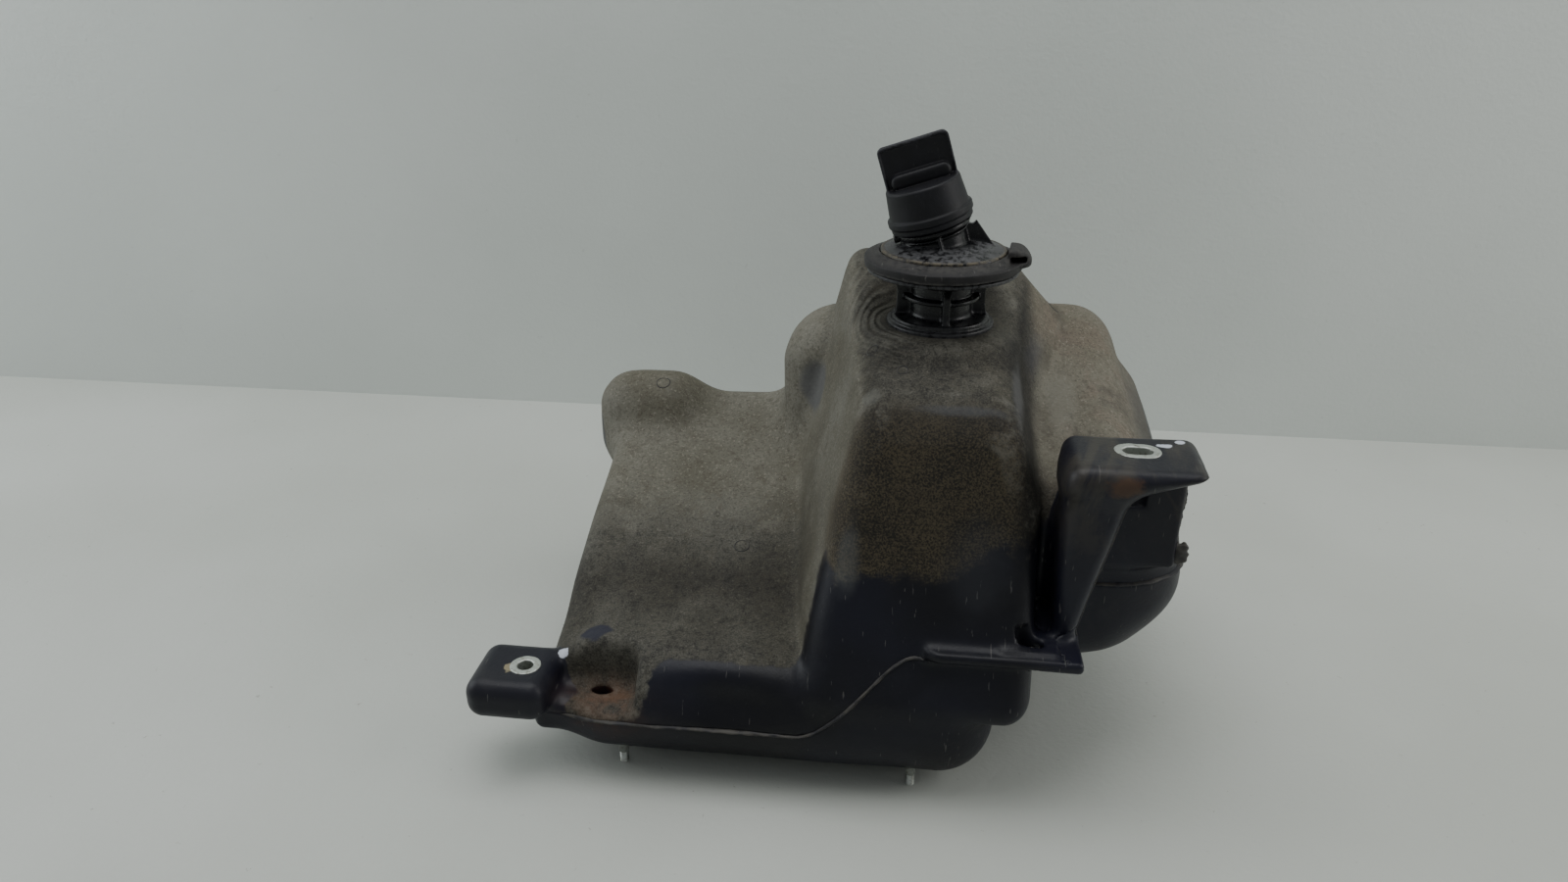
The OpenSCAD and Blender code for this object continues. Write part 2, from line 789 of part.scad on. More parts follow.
module level_float() {
    color("#2a2a2a")
    translate(pivot) rotate([0, -arm_drop, 0]) translate([-arm_len, 4, 0]) rotate([-90, 0, 0])
        tube(11, 1.32, 18, 48);
}

// ---- vent valve ----------------------------------------------------------

module vent_valve_body() {
    color("#2b2b30")
    translate([vent_x, vent_y, vent_z]) {
        difference() {
            union() {
                translate([0, 0, -34]) cylinder(r = vent_r - 0.02, h = 36, $fn = 64);
                cylinder(r = vent_r + 3, h = 3, $fn = 64);
                translate([0, 0, 3]) cylinder(r = 5, h = vent_rise, $fn = 48);
                translate([0, 0, vent_rise]) rotate([-90, 0, 0]) {
                    cylinder(r = 2.8, h = 20, $fn = 48);
                    cylinder(r = 3.4, h = 5.8, $fn = 48);
                }
            }
            translate([0, 0, -31]) cylinder(r = 6 + run, h = 25, $fn = 64);
            translate([0, 0, -40]) cylinder(r = 2.5, h = 20, $fn = 32);
            translate([0, 0, -8]) cylinder(r = 1.5, h = 8 + vent_rise, $fn = 32);
            translate([0, 0, vent_rise]) rotate([-90, 0, 0]) cylinder(r = 1.5, h = 30, $fn = 32);
        }
    }
}

module vent_valve_ball() {
    color("#c4c6c8")
    translate([vent_x, vent_y, vent_z - 31 + 6]) sphere(r = 6, $fn = 48);
}

tank_upper_shell();
tank_lower_shell();
front_left_lug();
front_right_lug();
front_right_flange();
left_lug_bushing();
right_lug_bushing();
base_studs();
stud_bosses();
filler_neck();
drip_tray_seal();
neck_inner_tube();
cap_shell();
cap_core();
cap_seal();
cap_valve_disc();
cap_valve_spring();
cap_valve_retainer();
pump_collar();
pump_flange();
pump_flange_gasket();
pump_lock_ring();
pump_bracket();
pump_housing();
pump_strainer();
pump_outlet_hose();
pressure_regulator();
connector_pins();
level_sender_card();
float_arm();
level_float();
vent_valve_body();
vent_valve_ball();
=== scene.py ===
"""Looks of the moulded fuel tank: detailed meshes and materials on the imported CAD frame."""

import json
import math

import bpy
import numpy as np
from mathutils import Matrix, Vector


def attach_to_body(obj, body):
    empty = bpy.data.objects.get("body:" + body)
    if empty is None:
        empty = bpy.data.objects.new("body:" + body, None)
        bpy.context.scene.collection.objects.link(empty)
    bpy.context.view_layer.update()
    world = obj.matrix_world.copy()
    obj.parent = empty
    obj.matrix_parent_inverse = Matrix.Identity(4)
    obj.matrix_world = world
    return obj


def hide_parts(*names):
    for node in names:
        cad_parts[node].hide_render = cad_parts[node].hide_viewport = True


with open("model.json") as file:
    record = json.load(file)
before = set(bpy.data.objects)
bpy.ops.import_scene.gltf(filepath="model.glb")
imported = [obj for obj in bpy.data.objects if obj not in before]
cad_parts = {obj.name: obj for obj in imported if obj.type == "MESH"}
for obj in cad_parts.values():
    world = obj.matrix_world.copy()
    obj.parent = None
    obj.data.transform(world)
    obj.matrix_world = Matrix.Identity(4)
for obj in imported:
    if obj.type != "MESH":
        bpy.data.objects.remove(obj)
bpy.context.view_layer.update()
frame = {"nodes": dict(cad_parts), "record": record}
MM = 0.001

# ---------------------------------------------------------------- distance fields (mm)


def rounded(ex, ey, ez, r):
    """Distance to a rounded block from the excess beyond its three half sizes."""
    ex, ey, ez = ex + r, ey + r, ez + r
    out = np.sqrt(np.maximum(ex, 0) ** 2 + np.maximum(ey, 0) ** 2 + np.maximum(ez, 0) ** 2)
    return out + np.minimum(np.maximum(ex, np.maximum(ey, ez)), 0) - r


def block(p, lo, hi, r):
    x, y, z = p
    return rounded(
        np.maximum(lo[0] - x, x - hi[0]),
        np.maximum(lo[1] - y, y - hi[1]),
        np.maximum(lo[2] - z, z - hi[2]),
        r,
    )


def smin(a, b, k):
    h = np.clip(0.5 + 0.5 * (b - a) / k, 0, 1)
    return b + (a - b) * h - k * h * (1 - h)


def smax(a, b, k):
    return -smin(-a, -b, k)


def ramp(t, a, b):
    s = np.clip((t - a) / (b - a), 0, 1)
    return s * s * (3 - 2 * s)


def disc(r, z, r1, z0, z1, e):
    """Distance to a solid of revolution's rectangle, edges rounded by e."""
    a, b = r - r1 + e, np.maximum(z0 - z, z - z1) + e
    return np.sqrt(np.maximum(a, 0) ** 2 + np.maximum(b, 0) ** 2) + np.minimum(np.maximum(a, b), 0) - e


# places that several pieces share
NECK = (62.0, 8.0)
SEAT_Z = 270.0
VENT = (62, 78)
PUMP_X, PUMP_Z = 70, 165
LEFT_BUSHING = (-194.5, -142.5)
RIGHT_BUSHING = (180.5, -99.0)
SLOT_HALF = 3.8
FLANGE_SLOT = (124.5, -135)
LOCATING_HOLE = (-147, -134)
STUD_X, STUD_Y = (-134.0, 57.0), -137.5


def body_skin(p):
    """The moulded body without lugs and openings: belly, wing, rear block, hump and tower."""
    x, y, z = p
    under = 8 * (1 - ramp(y, -70, 90))
    d = block(p, (-180, -157, under), (109, 133, 88), 38)
    d = smin(d, block(p, (62, -91, 50 + 0.25 * (x - 142)), (223, 133, 172), 48), 30)
    wing_top = 130 + 0.36 * (y - 25) - 8 * ramp(-y, 53, 87)
    wing_top = wing_top - 2.2 * np.exp(-(((y + 64) / 16) ** 2))
    d = smin(d, block(p, (-188, -152, 40), (12, 139, wing_top), 20), 14)
    d = smin(d, block(p, (-206, 85, 108), (-126, 139, 182), 24), 26)
    d = smin(d, block(p, (-54, 67, 90), (186, 143, 240 + 0.3 * np.clip(x + 38, -20, 20)), 30), 24)
    # the right shoulder
    side = 226 - 0.14 * np.clip(z - 125, 0, 90)
    d = smin(d, block(p, (102, -81, 90), (side, 131, 200 + 0.16 * (y - 5)), 30), 14)
    # the hump above that shoulder
    side = 198 - 0.12 * (z - 200)
    d = smin(d, block(p, (92, -87, 110), (side, 135, 220 + 0.29 * (y - 5)), 28), 14)
    # the tower narrows upwards and carries the deck
    u = np.clip((z - 107) / 136, -0.4, 1.3)
    front = -143 + 52 * u
    left = -8 + 25 * u - 0.19 * (y - front)
    away = np.sqrt((x - NECK[0]) ** 2 + (y - NECK[1]) ** 2)
    deck = 246 + 0.29 * (y + 85)
    mix = ramp(away, 40, 66)
    # moulded steps left of the neck
    steps = 0.65 * np.sin(away * 0.62) * ramp(away, 42, 50) * (1 - ramp(away, 84, 96))
    steps = steps * ramp(-(x - NECK[0]), 20, 52)
    deck = SEAT_Z + (deck - SEAT_Z) * mix + steps
    # shallow step across the front of the deck
    deck = deck - 1.6 * ramp(-y, 70, 78)
    # the right face leans out more towards the rear
    back = ramp(y, -20, 95)
    right = 109 + np.minimum((0.36 + 0.55 * back) * np.maximum(deck - z, 0), 19 + 22 * back)
    d = smin(d, block(p, (left, front, 60), (right, 105, deck), 17), 8)
    return d


def left_lug(p):
    d = block(p, (-229, -169, 47), (-176, -114, 75), 11)
    arm = block(p, (-196, -150, 26), (-112, -96, 51), 12)
    return smin(d, arm, 12)


def right_lug(p):
    x, y, z = p
    under = 209 + 0.32 * np.clip(x - 172, 0, 46) - 0.25 * (y + 125)
    top = block(p, (139, -133, under), (219, -73, 229), 8.5)
    wide = 153 + 0.23 * (np.clip(z, 104, 222) - 112)
    pillar = block(p, (139, -128, 104), (wide, -82, 222), 9)
    web = block(p, (148, -95, 147), (214, -83, 214), 4)
    return smin(smin(top, pillar, 12), web, 9)


def right_flange(p):
    x, y, _ = p
    f = block(p, (62, -152, 104), (156, -96, 111), 2.5)
    slant = (66 - x - (y + 150) * 1.25) * 0.62
    rim = smax(f, slant, 3)
    pad = block(p, (107, -146, 109), (142, -122, 113), 2)
    return smin(rim, pad, 3)


def slot_hole(p, c, half, r):
    """Distance to an upright slot about c, with its straight part 2 * half long."""
    return np.sqrt(np.maximum(np.abs(p[0] - c[0]) - half, 0) ** 2 + (p[1] - c[1]) ** 2) - r


def tank_skin(p):
    x, y, z = p
    d = body_skin(p)
    # recessed shelf beside the left lug
    d = smax(d, -block(p, (-184, -192, 51), (-121, -126, 140), 11), 9)
    d = smin(d, left_lug(p), 9)
    d = smin(d, right_lug(p), 12)
    d = smin(d, right_flange(p), 7)
    # hollow between the shelf and the tower's foot
    hollow = np.sqrt(((x + 62) / 40) ** 2 + ((y + 168) / 20) ** 2 + ((z - 68) / 17) ** 2)
    d = smax(d, -(hollow - 1) * 14, 10)
    # slight waviness of the blown wall
    wave = np.sin(x * 0.061 + 1.3) * np.sin(y * 0.053 + z * 0.041)
    wave = wave + 0.6 * np.sin(z * 0.083 - x * 0.037 + 2.0)
    d = d + 0.35 * wave
    # bores behind the metal bushings, the flange slot and the locating hole
    d = smax(d, -(np.hypot(x - LEFT_BUSHING[0], y - LEFT_BUSHING[1]) - 8), 0.8)
    d = smax(d, -smax(slot_hole(p, RIGHT_BUSHING, SLOT_HALF, 8), 190 - z, 1), 0.8)
    d = smax(d, -smax(slot_hole(p, FLANGE_SLOT, 5, 4), np.abs(z - 110) - 14, 1), 1.2)
    hole = np.hypot((x - LOCATING_HOLE[0]) / 7.0, (y - LOCATING_HOLE[1]) / 4.2)
    d = smax(d, -smax((hole - 1) * 4.5, np.abs(z - 52) - 9, 1), 1.2)
    # openings for the neck, the vent valve and the pump collar
    d = smax(d, -smax(np.hypot(x - NECK[0], y - NECK[1]) - 23, 240 - z, 1), 1)
    d = smax(d, -smax(np.hypot(x - VENT[0], y - VENT[1]) - 10.4, 250 - z, 1), 1)
    d = smax(d, -smax(np.hypot(x - PUMP_X, z - PUMP_Z) - 38, 120 - y, 1), 1)
    return d


def seam_at(a):
    """Height of the parting line at an angle in degrees around the filler axis."""
    a = np.mod(a, 360)
    return (
        133
        - 73 * ramp(a, 10, 175)
        - 14 * ramp(a, 178, 203)
        + 57 * ramp(a, 244, 268)
        + 30 * ramp(a, 288, 318)
    )


def seam_angle(x, y):
    return np.degrees(np.arctan2(y - NECK[1], x - NECK[0]))


# ---------------------------------------------------------------- meshing


def sample(field, lo, hi, h):
    """Field values on a regular grid, worked out in slabs to keep memory low."""
    n = [int(math.ceil((b - a) / h)) + 1 for a, b in zip(lo, hi)]
    axes = [np.float32(lo[i]) + np.arange(n[i], dtype=np.float32) * np.float32(h) for i in range(3)]
    out = np.empty(n, np.float32)
    step = max(1, int(1.5e6 // (n[1] * n[2])))
    for i in range(0, n[0], step):
        x, y, z = np.meshgrid(axes[0][i : i + step], axes[1], axes[2], indexing="ij")
        out[i : i + step] = field((x, y, z))
    return out


def surface_nets(values, lo, h):
    """Vertices (mm) and quads of the zero level."""
    inside = values < 0
    shape = np.array(values.shape) - 1
    size = int(np.prod(shape))
    total = [np.zeros(size, np.float64) for _ in range(3)]
    count = np.zeros(size, np.int32)
    quads = []

    def cell(i, j, k):
        return (i * shape[1] + j) * shape[2] + k

    for axis in range(3):
        a = [slice(None)] * 3
        b = [slice(None)] * 3
        a[axis], b[axis] = slice(None, -1), slice(1, None)
        change = inside[tuple(a)] != inside[tuple(b)]
        idx = np.array(np.nonzero(change))
        u, v = (axis + 1) % 3, (axis + 2) % 3
        good = (idx[u] > 0) & (idx[v] > 0) & (idx[u] < shape[u]) & (idx[v] < shape[v])
        idx = idx[:, good]
        f0 = values[tuple(a)][tuple(idx)].astype(float)
        f1 = values[tuple(b)][tuple(idx)].astype(float)
        pos = idx.astype(float)
        pos[axis] += f0 / (f0 - f1)
        ring = []
        for du, dv in ((1, 1), (0, 1), (0, 0), (1, 0)):
            c = idx.copy()
            c[u] -= du
            c[v] -= dv
            ids = cell(*c)
            ring.append(ids)
            count += np.bincount(ids, minlength=size).astype(np.int32)
            for k in range(3):
                total[k] += np.bincount(ids, weights=pos[k], minlength=size)
        q = np.stack(ring, 1)
        outward = inside[tuple(a)][tuple(idx)]
        q[~outward] = q[~outward][:, ::-1]
        quads.append(q)
    quads = np.concatenate(quads)
    used = np.nonzero(count)[0]
    remap = np.full(size, -1, np.int64)
    remap[used] = np.arange(len(used))
    verts = np.stack([total[k][used] / count[used] for k in range(3)], 1) * h + np.array(lo, float)
    return verts, remap[quads]


def gradient(field, v, e=0.25):
    g = np.empty_like(v)
    for k in range(3):
        a, b = v.copy(), v.copy()
        a[:, k] += e
        b[:, k] -= e
        g[:, k] = (field(a.T) - field(b.T)) / (2 * e)
    return g


def settle(field, v, steps=3, limit=0.6):
    """Moves vertices onto the zero level along the gradient."""
    for _ in range(steps):
        g = gradient(field, v)
        s = field(v.T) / np.maximum((g * g).sum(1), 0.2)
        move = g * s[:, None]
        length = np.linalg.norm(move, axis=1, keepdims=True)
        v = v - move * np.minimum(1, limit / np.maximum(length, 1e-9))
    return v


def linked(name, me):
    obj = bpy.data.objects.new(name, me)
    bpy.context.scene.collection.objects.link(obj)
    return obj


def faceted(name, verts, faces, smooth):
    """A mesh object from vertices in mm and faces of mixed sizes."""
    me = bpy.data.meshes.new(name)
    me.from_pydata((verts * MM).tolist(), [], [[int(i) for i in f] for f in faces])
    me.polygons.foreach_set("use_smooth", np.asarray(smooth, bool))
    return linked(name, me)


def mesh_of(name, verts, quads):
    """A smooth mesh object in metres from vertices in mm."""
    me = bpy.data.meshes.new(name)
    quads = np.asarray(quads, np.int32)
    k = quads.shape[1]
    me.vertices.add(len(verts))
    me.vertices.foreach_set("co", (np.asarray(verts, np.float32) * MM).ravel())
    me.loops.add(quads.size)
    me.loops.foreach_set("vertex_index", quads.ravel())
    me.polygons.add(len(quads))
    me.polygons.foreach_set("loop_start", np.arange(0, quads.size, k, dtype=np.int32))
    me.update(calc_edges=True)
    me.polygons.foreach_set("use_smooth", np.full(len(quads), True))
    me.validate()
    return linked(name, me)


def carve(name, field, lo, hi, h):
    """A closed mesh of a field, settled on its surface, and its vertices."""
    v, q = surface_nets(sample(field, lo, hi, h), lo, h)
    v = settle(field, v, 3, h * 0.45)
    return mesh_of(name, v, q), v


def attach(obj, name, values):
    a = obj.data.attributes.new(name, "FLOAT", "POINT")
    a.data.foreach_set("value", np.asarray(values, np.float32))


# ---------------------------------------------------------------- the moulded tank

FINE = 2.0
WALL = 4.2


def half_shell(name, v, q, keep, normals, inward):
    """One closed half: the kept faces, the same faces moved inwards, and the rim between."""
    faces = q[keep]
    used, flat = np.unique(faces, return_inverse=True)
    faces = flat.reshape(faces.shape)
    outer = v[used]
    inner = outer - normals[used] * inward[used][:, None]
    n = len(used)
    edges = np.concatenate([faces[:, [i, (i + 1) % 4]] for i in range(4)])
    key = edges.min(1).astype(np.int64) * n + edges.max(1)
    _, first, times = np.unique(key, return_index=True, return_counts=True)
    rim = edges[first[times == 1]]
    strip = np.stack([rim[:, 1], rim[:, 0], rim[:, 0] + n, rim[:, 1] + n], 1)
    allf = np.concatenate([faces, faces[:, ::-1] + n, strip])
    return mesh_of(name, np.concatenate([outer, inner]), allf), used


def dust_level(v, n):
    """How far above the dust's lower limit each point is, in tens of millimetres."""
    x, y, z = v.T
    limit = 58 + 88 * ramp(x, -24, -2) + 20 * ramp(x, 62, 104)
    limit = limit + 14 * ramp(x, 112, 150) + 30 * ramp(x, 205, 226)
    level = (z - limit) / 10
    lug = np.minimum(left_lug(v.T), smin(right_lug(v.T), right_flange(v.T), 6))
    level = level - 9 * (1 - ramp(lug, 0.5, 5))
    level = level + 1.2 * (n[:, 2] - 0.35)
    # the front edge of the wing, the rear edge and the rear lug's rim are bare
    level = level - 6 * (1 - ramp(y, -148, -126)) * ramp(x, -120, -96) * (1 - ramp(x, -24, 0))
    level = level - 7 * ramp(y, 128, 138) * (1 - ramp(x, -60, -30))
    level = level - 9 * (1 - ramp(x, -205, -190)) * ramp(y, 50, 84)
    shelf = np.exp(-(((x + 146) / 30) ** 2) - (((y + 136) / 20) ** 2) - (((z - 54) / 16) ** 2))
    return np.clip(level + 7 * shelf, -6, 6)


def hollow_edges(v):
    """1 where the skin turns sharply outwards, from the field's mean around each point."""
    lap = -6 * tank_skin(v.T)
    for k in range(3):
        for e in (-4.5, 4.5):
            w = v.copy()
            w[:, k] += e
            lap += tank_skin(w.T)
    return ramp(lap / 20, 0.025, 0.085)


def tank_marks(v, n):
    """Values at the tank's points that its material reads, by name."""
    x, y, z = v.T
    grain = ramp(x, -12, 6) * (1 - ramp(x, 108, 122)) * (1 - ramp(y, -100, -72)) * ramp(z, 120, 150)
    # how light the dust is on the wing, the tower's sides, the deck, the hump and the rear lug
    wing = 0.47 + 0.64 * ramp(y, -60, 112)
    tower = 0.27 + 0.2 * (1 - ramp(x, -2, 40)) + 0.24 * (1 - ramp(n[:, 0], -0.85, -0.35))
    deck = 0.45 + 0.09 * ramp(x, 60, 128) + 0.08 * ramp(y, 20, 90)
    top = ramp(n[:, 2], 0.55, 0.85) * ramp(z, 236, 246)
    tone = wing + (tower + (deck - tower) * top - wing) * ramp(x, -34, -12) * ramp(z, 60, 110)
    tone = tone + (1.02 - tone) * ramp(x, 118, 142) * ramp(z, 110, 160) * ramp(y, -98, -60)
    tone = tone + (0.9 - tone) * ramp(-x, 120, 175) * ramp(y, 60, 90)
    # painted sheen: the bare plastic is lighter on the right side and at the front of the left lug
    painted_sheen = ramp(x, 116, 140) + (1 - ramp(y, -128, -104)) * (1 - ramp(x, -150, -120))
    return {
        "dust": dust_level(v, n),
        "grain": grain,
        "warm": ramp(x, 112, 150) * ramp(z, 150, 215),
        "grit": (1 - ramp(x, -40, 0)) * ramp(x, -180, -120) * (1 - ramp(y, 40, 110)),
        # painted shade: a darker band over the dip across the wing's top
        "painted_shade_band": np.exp(-(((y + 62) / 17) ** 2)) * (1 - ramp(x, -30, 0)),
        "rust": np.exp(-(((x + 140) / 24) ** 2) - (((y + 142) / 17) ** 2) - (((z - 50) / 13) ** 2)),
        "tone": tone,
        "painted_sheen": np.clip(painted_sheen, 0, 1),
        "ripple": ramp(-(x - NECK[0]), 8, 30) * ramp(z, 250, 262) * ramp(-(y - 60), 0, 40),
        "edge": hollow_edges(v),
    }


def build_tank():
    """Both halves of the skin, parted at the seam and open at the neck, vent and pump."""
    lo, hi = (-236, -180, -5), (236, 152, 304)
    v, q = surface_nets(sample(tank_skin, lo, hi, FINE), lo, FINE)
    v = settle(tank_skin, v, 3, FINE * 0.45)
    gap = v[:, 2] - seam_at(seam_angle(v[:, 0], v[:, 1]))
    # faces inside the openings, below the outer skin
    x, y, z = v[q].mean(1).T
    wells = np.hypot(x - NECK[0], y - NECK[1]) - 23.6 + 99 * (z < 236)
    wells = np.minimum(wells, np.hypot(x - VENT[0], y - VENT[1]) - 11 + 99 * (z < 246))
    wells = np.minimum(wells, np.hypot(x - PUMP_X, z - PUMP_Z) - 38.6 + 99 * (y < 116))
    well = (wells < 0) & (body_skin((x, y, z)) < -2.2)
    upper = gap[q].mean(1) > 0
    in_up = np.zeros(len(v), bool)
    in_low = np.zeros(len(v), bool)
    in_up[q[upper].ravel()] = True
    in_low[q[~upper].ravel()] = True
    border = in_up & in_low & (np.abs(gap) < 2 * FINE)
    g = gradient(tank_skin, v)
    for _ in range(2):
        v[border, 2] = seam_at(seam_angle(v[border, 0], v[border, 1]))
        b = v[border]
        gb = gradient(tank_skin, b)
        gb[:, 2] = 0
        s = tank_skin(b.T) / np.maximum((gb * gb).sum(1), 0.2)
        v[border] = b - gb * np.clip(s, -1, 1)[:, None]
    n = g / np.maximum(np.linalg.norm(g, axis=1, keepdims=True), 1e-9)
    deep = tank_skin((v - WALL * n).T)
    inward = np.where(deep < 0.5 - WALL, WALL, 1.3)
    marks = tank_marks(v, n)
    upper_nodes = ["tank_upper_shell", "front_left_lug", "front_right_lug", "front_right_flange"]
    halves = []
    for name, keep, node in (
        ("tank_upper_skin", upper & ~well, upper_nodes),
        ("tank_lower_skin", ~upper & ~well, ["tank_lower_shell"]),
    ):
        obj, used = half_shell(name, v, q, keep, n, inward)
        for key, values in marks.items():
            attach(obj, key, np.tile(values[used], 2))
        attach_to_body(obj, "tank")
        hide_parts(*node)
        halves.append(obj)
    return halves


def ragged(n, falloff, seed):
    """A closed row of n values from -1 to 1 with detail at several lengths."""
    r = np.random.default_rng(seed)
    t = np.arange(n) / n * 2 * np.pi
    out = np.zeros(n)
    for k in range(3, 160):
        out += np.sin(k * t + r.uniform(0, 6.28)) * r.normal() / k**falloff
    return out / np.abs(out).max()


def build_flash():
    """The pinched bead along the parting line."""
    n = 1440
    a = np.arange(n) / n * 360.0
    za = seam_at(a)
    d = np.stack([np.cos(np.radians(a)), np.sin(np.radians(a))], 1)
    lo, hi = np.full(n, 60.0), np.full(n, 330.0)
    for _ in range(22):
        m = (lo + hi) / 2
        p = np.stack([NECK[0] + m * d[:, 0], NECK[1] + m * d[:, 1], za])
        out = body_skin(p) > 0
        hi, lo = np.where(out, m, hi), np.where(out, lo, m)
    p = np.stack([NECK[0] + lo * d[:, 0], NECK[1] + lo * d[:, 1], za], 1)
    g = gradient(body_skin, p)
    g[:, 2] = 0
    g /= np.linalg.norm(g, axis=1, keepdims=True)
    t = np.roll(p, -1, 0) - np.roll(p, 1, 0)
    t /= np.linalg.norm(t, axis=1, keepdims=True)
    b = np.cross(t, g)
    out = 1.5 + 0.75 * ragged(n, 0.55, 3) + 0.5 * ragged(n, 0.1, 4)
    wide = 0.9 + 0.25 * ragged(n, 0.5, 5)
    drift = 0.5 * ragged(n, 0.4, 6)
    # outline of the bead: how far out and how far across
    ring = (
        (-1.8, -1.3),
        (0.1, -1.25),
        (0.75, -0.55),
        (1, -0.2),
        (1, 0.2),
        (0.7, 0.55),
        (0.1, 1.2),
        (-1.8, 1.3),
    )
    rows = []
    for u, w in ring:
        reach = np.where(u < 0.2, u, u * out)
        rows.append(p + g * reach[:, None] + b * (w * wide + (drift if u > 0.2 else 0))[:, None])
    v = np.stack(rows, 1).reshape(-1, 3)
    k = len(ring)
    i, j = np.meshgrid(np.arange(n), np.arange(k), indexing="ij")
    i2, j2 = (i + 1) % n, (j + 1) % k
    q = np.stack([i * k + j, i2 * k + j, i2 * k + j2, i * k + j2], -1).reshape(-1, 4)
    obj = mesh_of("parting_flash", v, q)
    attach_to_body(obj, "tank")
    return obj


# ---------------------------------------------------------------- neck, seal and cap

TILT, TURN = math.radians(17), math.radians(7)
MOUTH = np.array([59.0, 8.0, 320.0])
CT, ST, CR, SR = math.cos(TILT), math.sin(TILT), math.cos(TURN), math.sin(TURN)
TURNED = np.array([[CR, -SR, 0], [SR, CR, 0], [0, 0, 1]])
TILTED = np.array([[CT, 0, -ST], [0, 1, 0], [ST, 0, CT]])
MOUTH_R = TURNED @ TILTED


def to_mouth(p, along=0.0):
    """Points in the tilted frame of the filler mouth, its origin moved along the axis."""
    d = [p[i] - MOUTH[i] for i in range(3)]
    q = [sum(MOUTH_R[i][k] * d[i] for i in range(3)) for k in range(3)]
    return q[0], q[1], q[2] - along


def neck_field(p):
    """Foot, ribbed lower tube, drip tray and leaning upper tube, as one moulding."""
    x, y, z = p[0] - NECK[0], p[1] - NECK[1], p[2]
    r = np.sqrt(x * x + y * y)
    d = smin(disc(r, z, 35.8, 268.5, 272.6, 1.0), disc(r, z, 32.8, 268.5, 276.2, 1.3), 1.0)
    d = smin(d, disc(r, z, 20.5, 264, 310, 1), 3.5)
    d = smin(d, disc(r, z, 25.5, 287.5, 290.3, 0.8), 1.2)
    # ribs that flare out under the tray
    u, w = x * CR + y * SR, -x * SR + y * CR
    flare = 31 - 1.5 * ramp(z, 274, 284) + 13 * np.clip((z - 292) / 15, 0, 1) ** 2
    for a, b in ((u, w), (w, u)):
        rib = rounded(np.abs(a) - flare, np.abs(b) - 2.3, np.maximum(272 - z, z - 308), 0.9)
        d = smin(d, rib, 1.6)
    cone = r - (24 + (z - 300) * 2.6)
    d = smin(d, smax(cone * 0.4, np.maximum(299 - z, z - 308), 1), 3)
    d = smin(d, disc(r, z, 50, 306, 308.7, 0.9), 2)
    # domed lid of the tray with a raised line at its rim
    dome = 319.4 + 6.2 * (1 - np.clip((r - 16) / 26, 0, 1) ** 1.6)
    lid = smax(r - 41.6, np.maximum(307 - z, (z - dome) * 0.92), 0.8)
    bead = np.sqrt((r - 40.2) ** 2 + (z - 319.7) ** 2) - 1.1
    d = smin(d, smin(lid, bead, 0.5), 1)
    # upper tube
    mx, my, mz = to_mouth(p)
    mr = np.sqrt(mx * mx + my * my)
    up = disc(mr, mz, 20, -6, 17, 0.7)
    up = smin(up, disc(mr, mz, 24, 13.8, 17, 0.7), 1)
    up = smin(up, disc(mr, mz, 22, 10.6, 12.2, 0.5), 1)
    for a, b, reach, low in ((-my, mx, 27, -5.5), (my, mx, 26, -2), (-mx, my, 25.5, 2)):
        taper = 1.2 + 1.5 * np.clip((6 - mz) / 10, 0, 1)
        span = np.maximum(12 - a, a - reach + 0.25 * np.maximum(mz, 0))
        fin = rounded(span, np.abs(b) - taper, np.maximum(low - mz, mz - 15.5), 1.7)
        up = smin(up, fin, 1.2)
    # pierced gusset on the right
    inside = np.maximum(12 - mx, np.maximum(-9 - mz, mz - 16))
    gus = smax((mx - 35 + (mz + 8) * 0.36) * 0.93, inside, 2)
    gus = smax(gus, np.abs(my) - 2, 0.8)
    gus = smax(gus, -(np.sqrt((mx - 25.4) ** 2 + (mz - 12.6) ** 2) - 2.5), 0.6)
    up = smin(up, gus, 1.2)
    lug = rounded(np.maximum(-27 - mx, mx + 20), np.abs(my) - 4, np.maximum(12.5 - mz, mz - 17), 1.2)
    up = smin(up, lug, 1)
    d = smin(d, up, 1.6)
    d = smax(d, -disc(mr, mz, 16.5, -6, 30, 0.5), 0.5)
    return smax(d, -disc(r, z, 16.5, 250, 316, 0.5), 0.5)


def seal_field(p):
    """The ring, lifted a little in places, with two grooves and its pull tab."""
    x, y, z = p[0] - NECK[0], p[1] - NECK[1], p[2]
    r = np.sqrt(x * x + y * y)
    a = np.arctan2(y, x)
    lift = 0.9 * np.exp(-(((a + 0.45) / 0.5) ** 2)) + 0.15 * np.sin(5 * a + 1) + 0.1 * np.sin(11 * a)
    z = z - lift
    d = smax(np.maximum(41.8 - r, r - 51.9), np.maximum(309.4 - z, z - 319.6), 0.9)
    d = smax(d, (z - 316.6 + (r - 48.6) * 0.42) * 0.92, 0.7)
    d = smax(d, -(np.sqrt((r - 46.2) ** 2 + (z - 318.6) ** 2) - 1.0), 0.6)
    d = smax(d, -(np.sqrt((r - 52.6) ** 2 + (z - 310.9) ** 2) - 0.9), 0.5)
    # pull tab: an arched strap with a finger slot under it
    t = math.radians(-7)
    u, w = x * math.cos(t) + y * math.sin(t), -x * math.sin(t) + y * math.cos(t)
    plan = (np.sqrt((w / 14.5) ** 2 + (np.maximum(u - 42, 0) / 15.2) ** 2) - 1) * 12
    top = z - 323.4 + 0.055 * np.maximum(u - 47, 0) ** 2
    ear = smax(smax(plan, np.maximum(311.5 - z, top), 2.0), 42.5 - u, 1)
    gap = np.maximum(315.4 - z, z - 319.4)
    slit = rounded(np.maximum(44 - u, u - 54.2), np.maximum(-30 - w, w - 3), gap, 1.4)
    return smax(smin(d, ear, 1.5), -slit, 0.8)


CAP_BASE = 18.0


